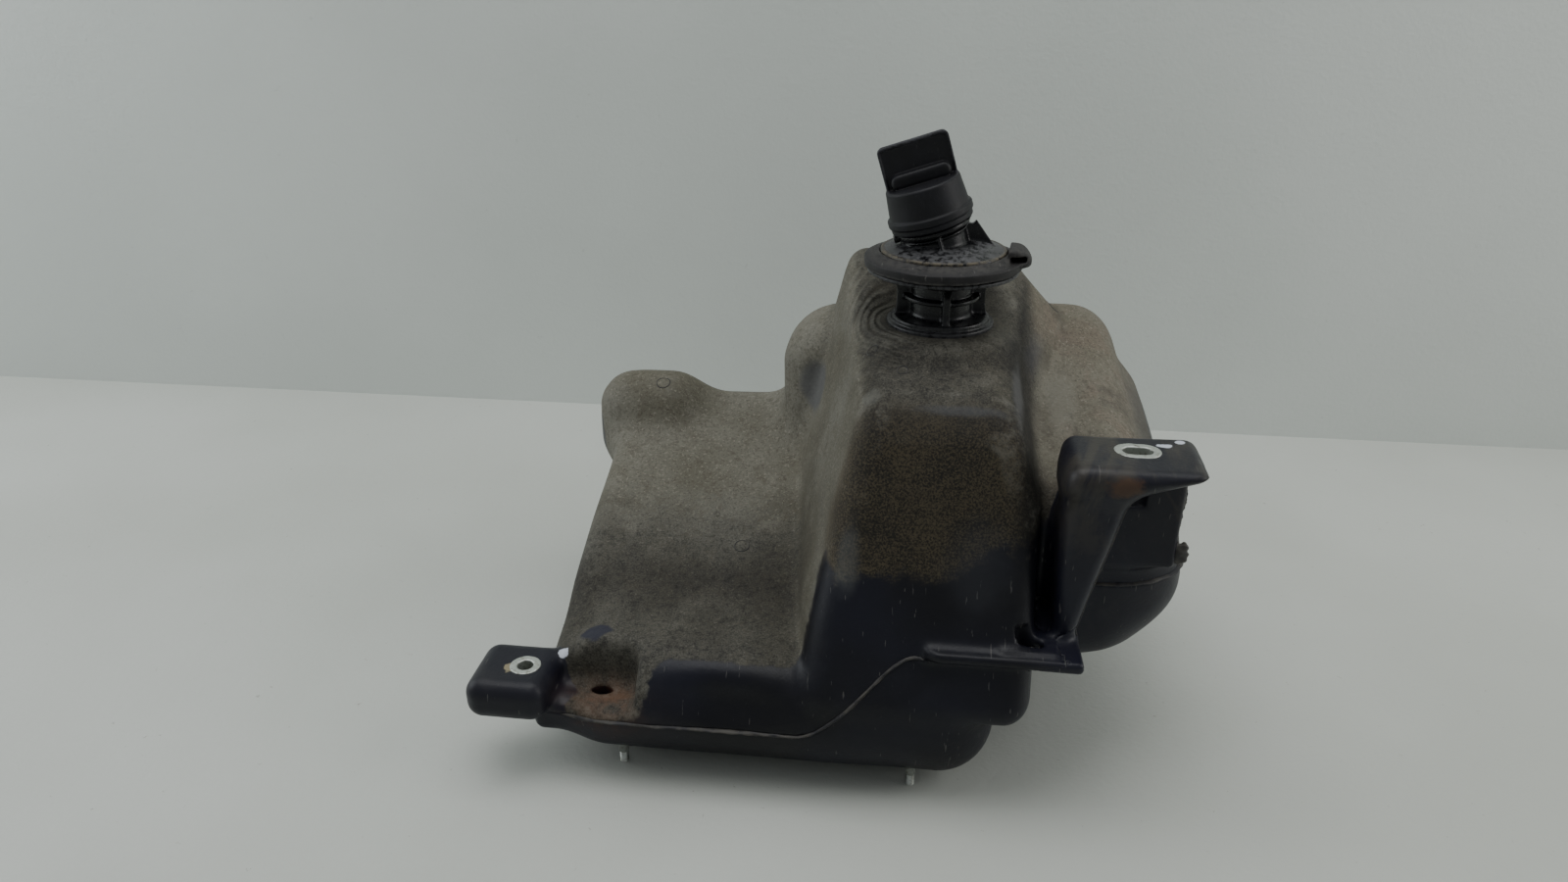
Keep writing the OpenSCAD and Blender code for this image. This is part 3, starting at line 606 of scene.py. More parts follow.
def cap_field(p):
    """The cap's wall and rims, its grip with a sunk panel a side, and the pads beside it."""
    x, y, z = to_mouth(p, CAP_BASE)
    r = np.sqrt(x * x + y * y)
    wall = 26.3 - 1.8 * np.clip((z - 9) / 17, 0, 1)
    d = rounded(r - wall, 0 * r - 9, np.maximum(1 - z, z - 28), 2.2)
    d = smin(d, disc(r, z, 26.8, 0, 3.4, 0.7), 0.6)
    d = smin(d, disc(r, z, 28, 4, 9, 1.0), 1.2)
    grip = rounded(np.abs(x) - 23.5, np.abs(y) - 2.5, np.maximum(22 - z, z - 56), 1.2)
    corner = np.sqrt(np.maximum(np.abs(x) - 18.5, 0) ** 2 + np.maximum(z - 51, 0) ** 2) - 5
    grip = smax(grip, corner, 0.8)
    face = rounded(np.abs(x) - 22.0, 1.5 - np.abs(y), np.maximum(27 - z, z - 54.0), 0.6)
    inner = np.sqrt(np.maximum(np.abs(x) - 18, 0) ** 2 + np.maximum(z - 50, 0) ** 2) - 4
    grip = smax(grip, -smax(face, inner, 0.6), 0.5)
    d = smin(d, grip, 1.4)
    along = np.maximum(np.abs(x) - 14.5, 0)
    pad = np.sqrt(along**2 + (z - 32.2) ** 2) - 5.0
    pad = smax(pad, np.abs(y) - 7.6, 3.2)
    d = smin(d, pad, 0.9)
    return smax(d, -disc(r, z, 22.05, -8, 22, 0.3), 0.3)


def normals(field, v):
    g = gradient(field, v)
    return g / np.maximum(np.linalg.norm(g, axis=1, keepdims=True), 1e-9)


def build_neck():
    h, cap_h = ((0.75, 0.62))
    obj, v = carve("filler_neck_moulding", neck_field, (8, -46, 261), (118, 62, 342), h)
    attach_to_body(obj, "tank")
    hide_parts("filler_neck")
    x, y, z = v.T
    r = np.hypot(x - NECK[0], y - NECK[1])
    lid = ramp(z, 316, 319) * ramp(r, 17, 24) * (1 - ramp(z, 326.5, 328))
    lid = lid * ramp(normals(neck_field, v)[:, 2], 0.5, 0.8)
    attach(obj, "dust", lid + 0.7 * ramp(r, 47, 49.5) + 0.45 * (1 - ramp(z, 269, 282)))
    attach(obj, "line", np.exp(-(((r - 40.6) / 1.4) ** 2)) * ramp(z, 318, 319.5))
    seal, v = carve("drip_tray_rubber", seal_field, (6, -50, 306), (126, 66, 328), h)
    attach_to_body(seal, "tank")
    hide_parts("drip_tray_seal")
    x, y, z = v.T
    r = np.hypot(x - NECK[0], y - NECK[1])
    attach(seal, "edge", 0.6 * ramp(z, 315.5, 317.5) + (1 - ramp(z, 309.8, 311.4)))
    cap, v = carve("cap_moulding", cap_field, (-14, -26, 328), (88, 40, 400), cap_h)
    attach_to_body(cap, "cap_shell")
    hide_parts("cap_shell")
    q = to_mouth(v.T, CAP_BASE)
    # the grip's top and side edges, lightened by a painted highlight
    attach(cap, "edge", ramp(q[2], 52, 56) + ramp(np.abs(q[0]), 21, 23.4) * ramp(q[2], 26, 30))
    return obj, seal, cap


# ---------------------------------------------------------------- small pieces


def tube(name, pts, radii, sides=7, closed=False, flat=1.0):
    """A closed tube of varying radius along points in mm."""
    pts = np.asarray(pts, float)
    n = len(pts)
    radii = np.broadcast_to(np.asarray(radii, float), (n,))
    t = np.roll(pts, -1, 0) - np.roll(pts, 1, 0) if closed else np.gradient(pts, axis=0)
    t /= np.maximum(np.linalg.norm(t, axis=1, keepdims=True), 1e-9)
    up = np.array([0.13, 0.21, 0.97]) if abs(t[:, 2]).mean() < 0.8 else np.array([0.1, 0.97, 0.2])
    a = np.cross(t, up)
    a /= np.linalg.norm(a, axis=1, keepdims=True)
    b = np.cross(t, a)
    ang = np.arange(sides) / sides * 2 * np.pi
    ring = a[:, None] * np.cos(ang)[None, :, None] + b[:, None] * np.sin(ang)[None, :, None] * flat
    v = (pts[:, None] + ring * radii[:, None, None]).reshape(-1, 3)
    rows = n if closed else n - 1
    i, j = np.meshgrid(np.arange(rows), np.arange(sides), indexing="ij")
    i2, j2 = (i + 1) % n, (j + 1) % sides
    q = np.stack([i * sides + j, i * sides + j2, i2 * sides + j2, i2 * sides + j], -1).reshape(-1, 4)
    if closed:
        return mesh_of(name, v, q)
    v = np.concatenate([v, pts[:1], pts[-1:]])
    c0, c1 = n * sides, n * sides + 1
    j = np.arange(sides)
    j2 = (j + 1) % sides
    last = (n - 1) * sides
    cap0 = np.stack([np.full(sides, c0), j2, j], 1)
    cap1 = np.stack([np.full(sides, c1), last + j, last + j2], 1)
    faces = [*q, *cap0, *cap1]
    return faceted(name, v, faces, np.ones(len(faces)))


def onto_skin(p, d, reach=40.0):
    """Moves points along direction d until they meet the tank's skin."""
    p = np.array(p, float)
    d = np.broadcast_to(np.asarray(d, float), p.shape)
    t = np.zeros(len(p))
    for _ in range(90):
        s = tank_skin((p + d * t[:, None]).T)
        t = np.minimum(t + np.where(s > 0.02, s * 0.6, 0), reach)
    return p + d * t[:, None]


# moulding circles: centre, direction out of the skin, radius
RINGS = (
    ((-69.3, -30.8, 109.7), (0.0, -0.33, 0.94), 5.2),
    ((-152.5, 100.5, 180.8), (0.0, -0.1, 1.0), 5.4),
    ((18.9, -31.0, 260.8), (0.0, -0.28, 0.96), 3.4),
    ((39.4, -52.0, 256.0), (0.0, -0.28, 0.96), 3.4),
    ((145.8, 99.5, 248.5), (0.1, -0.28, 0.96), 5.0),
)


def torn_bit(p):
    """The lumpy torn piece at the foot of the web."""
    x, y, z = p[0] - 3, p[1], p[2] - 35
    lump = 0.5 * np.sin(x * 0.8 + 1) * np.sin(z * 0.6) + 0.25 * np.sin(z * 1.3 + y)
    q = np.sqrt(((x - 213) / 5.5) ** 2 + ((y + 90) / 3.2) ** 2 + ((z - 122) / 8) ** 2)
    return (q - 1) * 3.4 + lump * 0.8


def build_trim():
    """Pinched edges and moulding marks that stand on the tank's skin."""
    out = []
    r = np.random.default_rng(11)
    # edge of the right lug's hollow
    a = np.radians(np.linspace(222, 58, 150))
    d = np.stack([np.cos(a), 0 * a, np.sin(a)], 1)
    start = np.tile([199.0, -121.0, 152.0], (150, 1))
    pts = onto_skin(start, d, 75)
    pts = pts[np.linalg.norm(pts - start, axis=1) < 74]
    rad = 0.65 + 0.3 * np.convolve(r.normal(size=len(pts) + 6), np.ones(7) / 7, "valid")
    out.append(tube("lug_edge_flash", pts, np.clip(rad, 0.3, 1.4)))
    # ragged edge down the right side of the lug's web
    z = np.linspace(209, 150, 90)
    pts = onto_skin(np.stack([z * 0 + 232, z * 0 - 89, z], 1), (-1, 0, 0), 40)
    walk = np.convolve(r.normal(size=len(z) + 4), np.ones(5) / 5, "valid")
    pts[:, 0] += 0.5 * walk
    pts[:, 1] += 0.8 * np.roll(walk, 20)
    out.append(tube("web_edge_flash", pts, np.clip(0.9 + 0.7 * np.roll(walk, 9), 0.3, 1.9), flat=0.6))
    for k, (c, n, rad) in enumerate(RINGS):
        c, n = np.array(c, float), np.array(n, float)
        n /= np.linalg.norm(n)
        u = np.cross(n, (0.3, 1, 0.2))
        u /= np.linalg.norm(u)
        w = np.cross(n, u)
        t = np.linspace(0, 2 * np.pi, 60, endpoint=False)
        p = c + n * 12 + rad * (np.cos(t)[:, None] * u + np.sin(t)[:, None] * w)
        out.append(tube(f"mould_ring_{k}", onto_skin(p, -n, 30), 0.36, 6, closed=True))
    obj, _ = carve("torn_flash", torn_bit, (206, -98, 143), (227, -82, 171), 0.6)
    out.append(obj)
    for obj in out:
        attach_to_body(obj, "tank")
    return out


def build_bushings():
    """The two metal sleeves, their top faces slightly dented."""
    out = []
    phases = np.random.default_rng(5).uniform(0, 6.28, 12)

    def dent(x, y):
        a = np.arctan2(y, x)
        return sum(0.09 * np.sin((k + 2) * a + phases[k]) for k in range(8))

    for name, node, c, half, z0, z1 in (
        ("left_bushing", "left_lug_bushing", LEFT_BUSHING, 0.0, 45.0, 75.6),
        ("right_bushing", "right_lug_bushing", RIGHT_BUSHING, SLOT_HALF, 208.0, 229.6),
    ):

        def field(p):
            outer = smax(slot_hole(p, c, half, 10.05), np.maximum(z0 - p[2], p[2] - z1), 0.9)
            bore = slot_hole(p, c, half, 5.2 + 0.9 * ramp(p[2], z1 - 0.9, z1))
            top = p[2] - z1 + 0.35 * (1 + dent(p[0] - c[0], p[1] - c[1]))
            return smax(smax(outer, -bore, 0.25), top, 0.3)

        e = 11.5 + half
        lo, hi = (c[0] - e, c[1] - 11.5, z0 - 1.5), (c[0] + e, c[1] + 11.5, z1 + 1.5)
        obj, _ = carve(name, field, lo, hi, 0.45)
        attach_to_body(obj, "tank")
        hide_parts(node)
        out.append(obj)
    return out


THREAD_TOP, SHANK_TOP, HEAD_TOP = 8.8, 24.0, 27.0


def stud_radius(z, t):
    """Radius at height z and angles t: thread of pitch 1, plain shank, hexagon head."""
    phase = np.mod(z / 1.0 - t / (2 * np.pi), 1.0)
    radius = 3.0 - 0.62 * np.abs(phase * 2 - 1) ** 0.9
    if z > THREAD_TOP + 0.01:
        radius = np.full(len(t), 3.3)
    if z > SHANK_TOP + 0.005:
        radius = 6.0 / np.cos(np.mod(t + np.pi / 6, np.pi / 3) - np.pi / 6)
    return np.minimum(radius, 2.1 + 1.1 * z)


def build_studs():
    """Two threaded M6 ends with a shank and head inside the tank's floor."""
    n, out = 40, []
    t = np.arange(n) / n * 2 * np.pi
    steps = [THREAD_TOP + 0.05, SHANK_TOP - 0.1, SHANK_TOP, SHANK_TOP + 0.01, HEAD_TOP]
    heights = np.concatenate([np.linspace(0, THREAD_TOP, 68), steps])
    m = len(heights)
    i, j = np.meshgrid(np.arange(m - 1), np.arange(n), indexing="ij")
    j2 = (j + 1) % n
    q = np.stack([i * n + j, i * n + j2, (i + 1) * n + j2, (i + 1) * n + j], -1).reshape(-1, 4)
    faces = [*q, range(n - 1, -1, -1), range((m - 1) * n, m * n)]
    for k, x0 in enumerate(STUD_X):
        rings = []
        for z in heights:
            radius = stud_radius(z, t)
            ring = [x0 + radius * np.cos(t), STUD_Y + radius * np.sin(t), np.full(n, z)]
            rings.append(np.stack(ring, 1))
        obj = faceted(f"base_stud_{k}", np.concatenate(rings), faces, [len(f) == 4 for f in faces])
        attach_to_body(obj, "tank")
        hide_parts("base_studs")
        out.append(obj)
    return out


# ---------------------------------------------------------------- materials


def srgb(r, g, b):
    def f(c):
        c /= 255
        return c / 12.92 if c <= 0.04045 else ((c + 0.055) / 1.055) ** 2.4

    return (f(r), f(g), f(b), 1.0)


class Graph:
    """A material with short helpers for its node tree."""

    def __init__(self, name):
        self.mat = bpy.data.materials.new(name)
        self.mat.use_nodes = True
        self.t = self.mat.node_tree
        self.bsdf = self.t.nodes["Principled BSDF"]
        self.p = self.t.nodes.new("ShaderNodeTexCoord").outputs["Object"]

    def node(self, kind, **props):
        n = self.t.nodes.new(kind)
        for k, v in props.items():
            setattr(n, k, v)
        return n

    def put(self, socket, value):
        if isinstance(value, bpy.types.NodeSocket):
            self.t.links.new(value, socket)
        else:
            socket.default_value = value

    def math(self, op, a, b=0.0):
        n = self.node("ShaderNodeMath", operation=op)
        for i, v in enumerate((a, b)):
            self.put(n.inputs[i], v)
        return n.outputs[0]

    def add(self, *terms):
        out = terms[0]
        for t in terms[1:]:
            out = self.math("ADD", out, t)
        return out

    def mul(self, first, *rest):
        for factor in rest:
            first = self.math("MULTIPLY", first, factor)
        return first

    def step(self, v, a, b, lo=0.0, hi=1.0):
        n = self.node("ShaderNodeMapRange", interpolation_type="SMOOTHSTEP")
        self.put(n.inputs["Value"], v)
        for k, x in (("From Min", a), ("From Max", b), ("To Min", lo), ("To Max", hi)):
            n.inputs[k].default_value = x
        return n.outputs["Result"]

    def noise(self, scale, detail=4.0, rough=0.55, stretch=None, warp=0.0):
        n = self.node("ShaderNodeTexNoise")
        p = self.p
        if stretch:
            m = self.node("ShaderNodeMapping")
            m.inputs["Rotation"].default_value = stretch[3:] or (0, 0, 0)
            m.inputs["Scale"].default_value = stretch[:3]
            self.put(m.inputs["Vector"], p)
            p = m.outputs[0]
        self.put(n.inputs["Vector"], p)
        n.inputs["Scale"].default_value = scale
        n.inputs["Detail"].default_value = detail
        n.inputs["Roughness"].default_value = rough
        n.inputs["Distortion"].default_value = warp
        return n.outputs["Fac"]

    def grains(self, scale):
        n = self.node("ShaderNodeTexVoronoi")
        self.put(n.inputs["Vector"], self.p)
        n.inputs["Scale"].default_value = scale
        return n.outputs["Distance"]

    def attr(self, name):
        return self.node("ShaderNodeAttribute", attribute_name=name).outputs["Fac"]

    def mix(self, f, a, b):
        n = self.node("ShaderNodeMix", data_type="RGBA")
        self.put(n.inputs[0], f)
        self.put(n.inputs[6], a)
        self.put(n.inputs[7], b)
        return n.outputs[2]

    def spot(self, c, size, ragged=0.5, scale=120.0, soft=0.25):
        """1 inside an uneven patch about c (mm) with half sizes in mm."""
        d = self.node("ShaderNodeVectorMath", operation="SUBTRACT")
        self.put(d.inputs[0], self.p)
        d.inputs[1].default_value = [x * MM for x in c]
        k = self.node("ShaderNodeVectorMath", operation="MULTIPLY")
        self.put(k.inputs[0], d.outputs[0])
        k.inputs[1].default_value = [1000 / x for x in size]
        e = self.node("ShaderNodeVectorMath", operation="LENGTH")
        self.put(e.inputs[0], k.outputs[0])
        n = self.noise(scale, 3.0)
        v = self.add(e.outputs["Value"], self.mul(self.math("SUBTRACT", n, 0.5), 2 * ragged))
        return self.step(v, 1 + soft, 1 - soft)

    def patch(self, color, c, size, share, tint, ragged, scale, soft=0.25):
        """The colour with a share of the tint laid over it in a spot."""
        return self.mix(self.mul(self.spot(c, size, ragged, scale, soft), share), color, srgb(*tint))

    def bump(self, height, strength, distance, under=None):
        n = self.node("ShaderNodeBump")
        n.inputs["Strength"].default_value = strength
        n.inputs["Distance"].default_value = distance
        self.put(n.inputs["Height"], height)
        if under is not None:
            self.put(n.inputs["Normal"], under)
        return n.outputs[0]

    def close(self, color, rough, normal=None, **consts):
        self.put(self.bsdf.inputs["Base Color"], color)
        self.put(self.bsdf.inputs["Roughness"], rough)
        if normal is not None:
            self.put(self.bsdf.inputs["Normal"], normal)
        for k, v in consts.items():
            self.bsdf.inputs[k.replace("_", " ")].default_value = v
        return self.mat


# uneven patches on the tank, some worn, some stained, some painted highlights and painted shade, in mm
# and sRGB:
# centre, half sizes, share, tint, raggedness, noise scale, softness
FADED_AND_PAINTED_LIGHT = (
    # smooth oval on the tower's left, a painted highlight band along the deck's front step, a painted
    # highlight streak on its right edge
    ((-24, 62, 198), (17, 20, 18), 0.75, (84, 85, 87), 0.2, 50),
    ((80, -82.5, 242.5), (26, 3.2, 5), 0.42, (76, 78, 82), 0.5, 70, 0.5),
    ((113, -52, 243), (4, 30, 14), 0.45, (98, 98, 98), 0.6, 90, 0.5),
    # painted shade in the valley beside the hump, a painted highlight strip next to it, the far right
    # shoulder
    ((131, 8, 246), (9, 34, 14), 0.55, (58, 58, 64), 0.5, 60, 0.5),
    ((147, 2, 216), (10, 34, 18), 0.45, (124, 122, 112), 0.6, 60, 0.5),
    ((222, 20, 205), (24, 90, 60), 0.6, (62, 62, 62), 0.3, 60, 0.4),
    # streak down the tower's left foot and haze on its right
    ((12, -122, 152), (7, 9, 40), 0.4, (84, 86, 86), 0.6, 60, 0.5),
    ((92, -128, 165), (20, 16, 30), 0.35, (52, 54, 60), 0.5, 60, 0.6),
)
WHITE = (205, 210, 220)
MARKED = (
    # chip on the deck's corner, dark blot by the shelf, brown smear on the right lug
    ((20, -73, 247), (7, 6, 8), 0.35, (104, 104, 98), 0.5, 160),
    ((-155, -114, 86), (11, 8, 9), 0.85, (36, 38, 52), 0.5, 110, 0.15),
    ((170, -131, 220), (10, 8, 6), 0.7, (82, 60, 44), 0.6, 200, 0.3),
    # white paint on both lugs, pale crud by the left bushing
    ((-175.5, -122.5, 74), (3.2, 3.8, 6), 0.9, WHITE, 0.55, 300, 0.1),
    ((197.5, -90, 229), (5.2, 2.6, 5), 0.9, WHITE, 0.55, 300, 0.1),
    ((207.5, -84, 229), (3.2, 2.4, 5), 0.9, WHITE, 0.55, 300, 0.1),
    ((-203.5, -146, 75), (4.2, 5.0, 4), 0.8, (150, 140, 112), 0.8, 260, 0.1),
)


def tank_material():
    """Black plastic under uneven dust, with painted sheen, highlights and shade, by the values that
    tank_marks gives each point.
    """
    g = Graph("tank_dust_and_painted_light")
    big, mid = g.noise(11, 3, 0.5), g.noise(42, 5, 0.6, warp=0.4)
    small, fine = g.noise(230, 5, 0.65), g.noise(900, 3, 0.6)
    pits = g.grains(620)
    level = g.attr("dust")
    rough_edge = g.add(
        level, g.mul(g.math("SUBTRACT", mid, 0.5), 2.6), g.mul(g.math("SUBTRACT", small, 0.5), 1.7)
    )
    dust = g.step(rough_edge, -0.35, 0.85)
    wiped = g.step(g.noise(24, 6, 0.7, stretch=(1, 0.35, 0.6)), 0.60, 0.74)
    dust = g.mul(dust, g.math("SUBTRACT", 1.0, g.mul(wiped, 0.22)))
    # colours of the dust
    tone = g.mix(g.step(big, 0.34, 0.66), srgb(95, 92, 80), srgb(117, 115, 105))
    tone = g.mix(g.mul(g.step(mid, 0.48, 0.72), 0.4), tone, srgb(126, 123, 113))
    tone = g.mix(g.mul(g.step(g.noise(75, 4, 0.7, warp=0.8), 0.52, 0.68), 0.35), tone, srgb(78, 72, 58))
    tone = g.mix(g.mul(g.attr("grain"), 0.75), tone, srgb(84, 72, 54))
    blush = g.mul(g.attr("warm"), g.step(g.noise(30, 4, 0.6, warp=0.6), 0.44, 0.64))
    tone = g.mix(g.mul(blush, 0.5), tone, srgb(120, 104, 94))
    tone = g.mix(g.mul(g.attr("warm"), 0.45), tone, srgb(102, 96, 82))
    tone = g.mix(g.mul(g.step(small, 0.46, 0.66), 0.35), tone, srgb(66, 58, 46))
    speck = g.mul(g.step(g.noise(620, 3, 0.7), 0.52, 0.64), g.add(0.42, g.mul(g.attr("grain"), 0.3)))
    tone = g.mix(speck, tone, srgb(46, 40, 30))
    motes = g.step(g.noise(480, 3, 0.65), 0.56, 0.68)
    tone = g.mix(g.mul(motes, 0.5), tone, srgb(146, 142, 130))
    grit = g.mul(g.step(g.grains(480), 0.16, 0.08), g.mul(g.attr("grit"), g.step(mid, 0.48, 0.6)))
    tone = g.mix(g.mul(grit, 0.8), tone, srgb(158, 148, 126))
    # painted shade: darkens the band over the dip across the wing's top
    tone = g.mix(g.mul(g.attr("painted_shade_band"), 0.35), tone, srgb(58, 52, 42))
    amount = g.attr("tone")
    gaps = g.add(g.mul(small, 0.9), g.mul(fine, 0.9), g.mul(mid, 0.5), g.mul(amount, 1.25))
    tone = g.mix(g.step(gaps, 1.30, 2.15), srgb(22, 20, 18), tone)
    tone = g.mix(g.step(amount, 0.85, 0.2, 0.0, 0.5), tone, srgb(26, 24, 21))
    crumb = g.step(g.add(g.noise(760, 3, 0.7), g.mul(mid, 0.3)), 0.52, 0.80)
    tone = g.mix(g.mul(g.attr("grain"), 0.75), tone, g.mix(crumb, srgb(22, 20, 16), srgb(78, 70, 54)))
    # bare plastic, lighter on the right side and the front of the left lug as painted sheen, with a faint
    # light haze that grows there as painted sheen
    bare = g.mix(g.attr("painted_sheen"), srgb(9, 9, 15), srgb(24, 24, 32))
    bare = g.mix(g.mul(g.step(big, 0.35, 0.7), 0.4), bare, srgb(27, 29, 46))
    haze_and_sheen = g.mul(g.step(mid, 0.5, 0.8), g.add(0.03, g.mul(g.attr("painted_sheen"), 0.14)))
    bare = g.mix(haze_and_sheen, bare, srgb(78, 76, 74))
    scratch = g.step(g.noise(60, 2, 0.5, stretch=(9, 0.6, 1.4, 0.2, 0.4, 0.9)), 0.70, 0.73)
    bare = g.mix(g.mul(scratch, 0.35), bare, srgb(112, 110, 106))
    color = g.mix(dust, bare, tone)
    rust = g.mul(g.attr("rust"), g.step(g.add(mid, g.mul(small, 0.4)), 0.5, 0.8))
    color = g.mix(g.mul(rust, 0.55), color, srgb(112, 72, 44))
    # worn patches together with painted highlights and painted shade
    for args in FADED_AND_PAINTED_LIGHT:
        color = g.patch(color, *args)
    # painted highlight: dusty convex edges are lightened
    edge_highlight = g.mul(g.attr("edge"), dust, g.step(g.add(mid, g.mul(small, 0.6)), 0.74, 1.04))
    color = g.mix(g.mul(edge_highlight, 0.4), color, srgb(108, 107, 100))
    streak = g.step(g.noise(16, 5, 0.65, stretch=(1.6, 0.5, 0.8, 0.4, 0.2, 0.5), warp=1.2), 0.50, 0.64)
    color = g.mix(g.mul(streak, g.attr("warm"), 0.6), color, srgb(66, 62, 54))
    for args in MARKED:
        color = g.patch(color, *args)
    rough = g.add(
        g.mul(dust, 0.36), g.step(mid, 0.3, 0.7, 0.36, 0.46), g.mul(g.math("SUBTRACT", fine, 0.5), 0.1)
    )
    height = g.add(g.mul(fine, g.add(0.25, g.mul(dust, 0.5))), g.mul(small, 0.8), g.mul(pits, 0.25))
    # wrinkles around the neck, where "ripple" allows them
    away = g.node("ShaderNodeVectorMath", operation="DISTANCE")
    flat = g.node("ShaderNodeVectorMath", operation="MULTIPLY")
    g.put(flat.inputs[0], g.p)
    flat.inputs[1].default_value = (1, 1, 0)
    g.put(away.inputs[0], flat.outputs[0])
    away.inputs[1].default_value = (NECK[0] * MM, NECK[1] * MM, 0)
    wave = g.math("SINE", g.add(g.mul(away.outputs["Value"], 1250), g.mul(mid, 5.0)))
    ring = g.mul(g.step(away.outputs["Value"], 0.038, 0.046), g.step(away.outputs["Value"], 0.082, 0.070))
    wrinkle = g.mul(wave, ring, g.attr("ripple"))
    n = g.bump(mid, 0.25, 0.0016)
    n = g.bump(wrinkle, 0.8, 0.0011, n)
    n = g.bump(height, 0.35, 0.00045, n)
    return g.close(color, rough, n, Specular_IOR_Level=0.30)


def plastic(name, dark, light, rough, scuff=0.3, dust_and_highlight=(), pebble=0.25):
    """Scuffed plastic or rubber; each overlay names an attribute, its tint and its share, for dust, wear
    and painted highlights.
    """
    g = Graph(name)
    mid, fine = g.noise(90, 5, 0.6), g.noise(1100, 3, 0.55)
    color = g.mix(g.step(mid, 0.35, 0.7), dark, light)
    mark = g.step(g.noise(150, 3, 0.6, stretch=(5, 1, 1, 0.3, 0.2, 0.8)), 0.66, 0.72)
    color = g.mix(g.mul(mark, scuff), color, srgb(128, 126, 120))
    for key, tint, share in dust_and_highlight:
        amount = g.mul(g.attr(key), g.step(g.noise(260, 4, 0.7), 0.36, 0.60))
        color = g.mix(g.mul(amount, share), color, tint)
        rough = g.add(rough, g.mul(amount, 0.3))
    r = g.add(rough, g.mul(g.math("SUBTRACT", mid, 0.5), 0.18))
    n = g.bump(g.add(fine, g.mul(mid, 0.5)), pebble, 0.0003)
    return g.close(color, r, n, Specular_IOR_Level=0.32)


def metal(name, base, stain, rough):
    g = Graph(name)
    mid, fine = g.noise(300, 5, 0.7), g.noise(1500, 3, 0.6)
    color = g.mix(g.step(mid, 0.48, 0.72), base, stain)
    n = g.bump(g.add(fine, mid), 0.3, 0.00025)
    r = g.add(rough, g.mul(g.math("SUBTRACT", mid, 0.5), 0.35))
    return g.close(color, r, n, Metallic=0.9)


def paint(objs, mat):
    for obj in objs:
        obj.data.materials.clear()
        obj.data.materials.append(mat)


# ---------------------------------------------------------------- the scene

tank = build_tank()
flash = build_flash()
trim = build_trim()
neck, seal, cap = build_neck()
bushings = build_bushings()
studs = build_studs()

tank_mat = tank_material()
lid_dust = (("dust", srgb(96, 96, 98), 0.62), ("line", srgb(118, 108, 86), 0.55))
neck_mat = plastic("neck_black", srgb(12, 12, 14), srgb(20, 20, 23), 0.27, 0.3, lid_dust)
# painted highlight on the cap's grip edges
cap_edge_highlight = (("edge", srgb(84, 84, 90), 0.55),)
cap_mat = plastic("cap_charcoal", srgb(11, 11, 15), srgb(19, 19, 25), 0.52, 0.10, cap_edge_highlight)
seal_rub = (("edge", srgb(96, 94, 90), 0.5),)
rubber_mat = plastic("worn_rubber", srgb(24, 23, 24), srgb(38, 36, 37), 0.55, 0.45, seal_rub, 0.5)
edge_mat = plastic("pinched_edge", srgb(34, 34, 38), srgb(72, 69, 64), 0.5, 0.6, (), 0.6)
zinc_mat = metal("zinc_sleeve", srgb(196, 200, 194), srgb(120, 116, 100), 0.45)
paint(tank, tank_mat)
paint([flash] + trim, edge_mat)
paint([neck], neck_mat)
paint([seal], rubber_mat)
paint([cap], cap_mat)
paint(bushings + studs, zinc_mat)

inner_mat = plastic("inner_plastic", srgb(40, 40, 44), srgb(56, 56, 60), 0.45, 0.2)
by_slot = {
    "tank_plastic": plastic("moulded_boss", srgb(28, 28, 32), srgb(40, 40, 46), 0.45, 0.3),
    "neck_plastic": inner_mat,
    "cap_plastic": plastic("ring_plastic", srgb(30, 30, 34), srgb(46, 46, 50), 0.45, 0.3),
    "inner_plastic": inner_mat,
    "pale_plastic": plastic("pale_plastic", srgb(186, 184, 172), srgb(206, 204, 194), 0.4, 0.15),
    "float_foam": plastic("float_foam", srgb(26, 26, 26), srgb(44, 42, 40), 0.8, 0.2, (), 0.8),
    "rubber": plastic("plain_rubber", srgb(26, 26, 27), srgb(40, 39, 40), 0.65, 0.2, (), 0.4),
    "mesh_fabric": plastic("strainer_mesh", srgb(150, 150, 142), srgb(178, 178, 170), 0.7, 0.2, (), 0.9),
    "zinc_steel": metal("bright_steel", srgb(190, 193, 192), srgb(140, 138, 130), 0.35),
    "brass": metal("brass", srgb(196, 168, 96), srgb(150, 118, 62), 0.3),
}
slots = {n["node"]: n["material_slot"] for n in frame["record"]["subparts"]}
for name, obj in frame["nodes"].items():
    key = slots.get(name, "inner_plastic")
    paint([obj], by_slot.get(key, inner_mat))

# ---------------------------------------------------------------- floor, light and camera


def slab(name, lo, hi):
    """A plain block between two corners in metres."""
    x0, y0, z0 = lo
    x1, y1, z1 = hi
    v = [(x, y, z) for z in (z0, z1) for y in (y0, y1) for x in (x0, x1)]
    f = [(0, 2, 3, 1), (4, 5, 7, 6), (0, 1, 5, 4), (2, 6, 7, 3), (0, 4, 6, 2), (1, 3, 7, 5)]
    me = bpy.data.meshes.new(name)
    me.from_pydata(v, [], f)
    return linked(name, me)


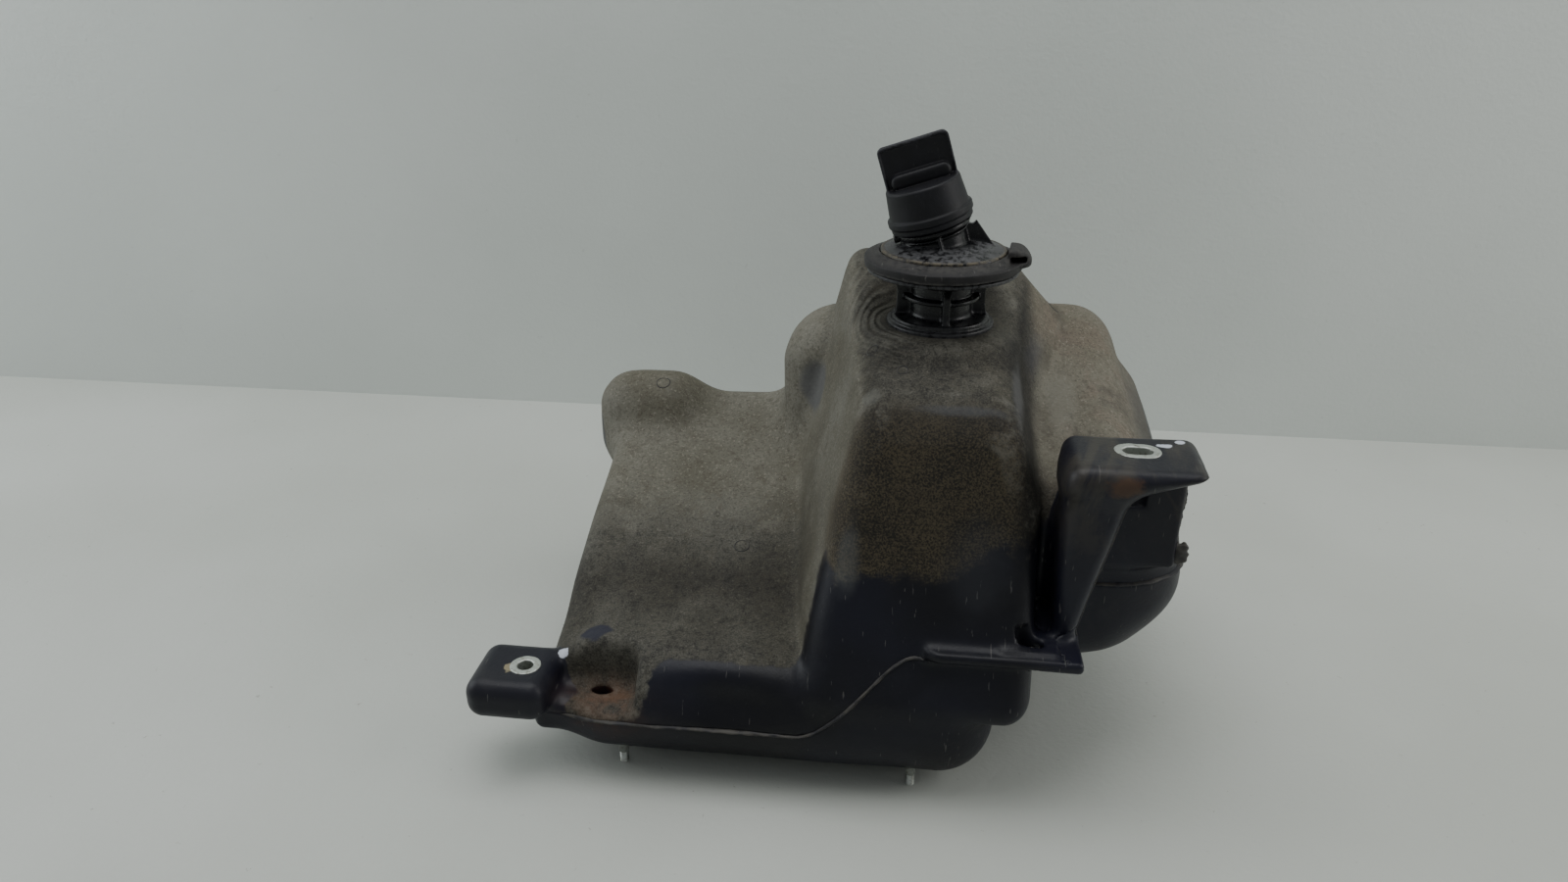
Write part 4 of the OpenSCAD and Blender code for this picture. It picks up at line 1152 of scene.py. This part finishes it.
def paint_floor(name, base, other, marks):
    g = Graph(name)
    big, fine = g.noise(3.0, 3, 0.5), g.noise(210, 5, 0.6)
    color = g.mix(g.step(big, 0.3, 0.7), base, other)
    spot = g.mul(g.step(g.noise(95, 4, 0.75), 0.66, 0.73), marks)
    color = g.mix(spot, color, srgb(120, 116, 106))
    n = g.bump(g.add(fine, g.mul(g.noise(70, 3, 0.5), 0.6)), 0.35, 0.0011)
    return g.close(color, g.add(0.42, g.mul(fine, 0.15)), n, Specular_IOR_Level=0.4)


floor = slab("floor", (-2.5, -2.0, -0.02), (2.5, 0.5, 0.0))
wall = slab("back_wall", (-2.5, 0.48, -0.02), (2.5, 0.5, 2.2))
paint([floor], paint_floor("floor_board", srgb(196, 199, 193), srgb(188, 191, 184), 0.5))
paint([wall], paint_floor("wall_board", srgb(206, 211, 206), srgb(200, 205, 200), 0.12))


def area(name, at, aim, size, power, color):
    data = bpy.data.lights.new(name, "AREA")
    data.shape = "RECTANGLE"
    data.size, data.size_y = size
    data.energy = power
    data.color = color
    obj = linked(name, data)
    obj.location = at
    obj.rotation_euler = (Vector(aim) - Vector(at)).to_track_quat("-Z", "Y").to_euler()


area("ceiling_light", (-0.1, 0.15, 1.9), (0, 0.05, 0.1), (1.9, 1.4), 24, (0.98, 0.99, 0.99))
area("left_panel", (-1.5, 0.1, 0.75), (0, 0, 0.15), (1.1, 1.1), 9, (0.93, 0.97, 1.0))
area("right_window", (1.5, -0.1, 0.9), (0, 0, 0.15), (0.8, 1.2), 9, (1.0, 0.99, 0.97))
world = bpy.data.worlds.new("room")
world.use_nodes = True
world.node_tree.nodes["Background"].inputs["Color"].default_value = (0.86, 0.90, 0.92, 1)
world.node_tree.nodes["Background"].inputs["Strength"].default_value = 0.35
bpy.context.scene.world = world

cam_data = bpy.data.cameras.new("camera")
cam_data.sensor_width = 36
cam_data.lens = 25.99
cam = linked("camera", cam_data)
cam.location = (0.0469, -0.730, 0.507)
cam.rotation_euler = (math.radians(66), 0, math.radians(7))
bpy.context.scene.camera = cam
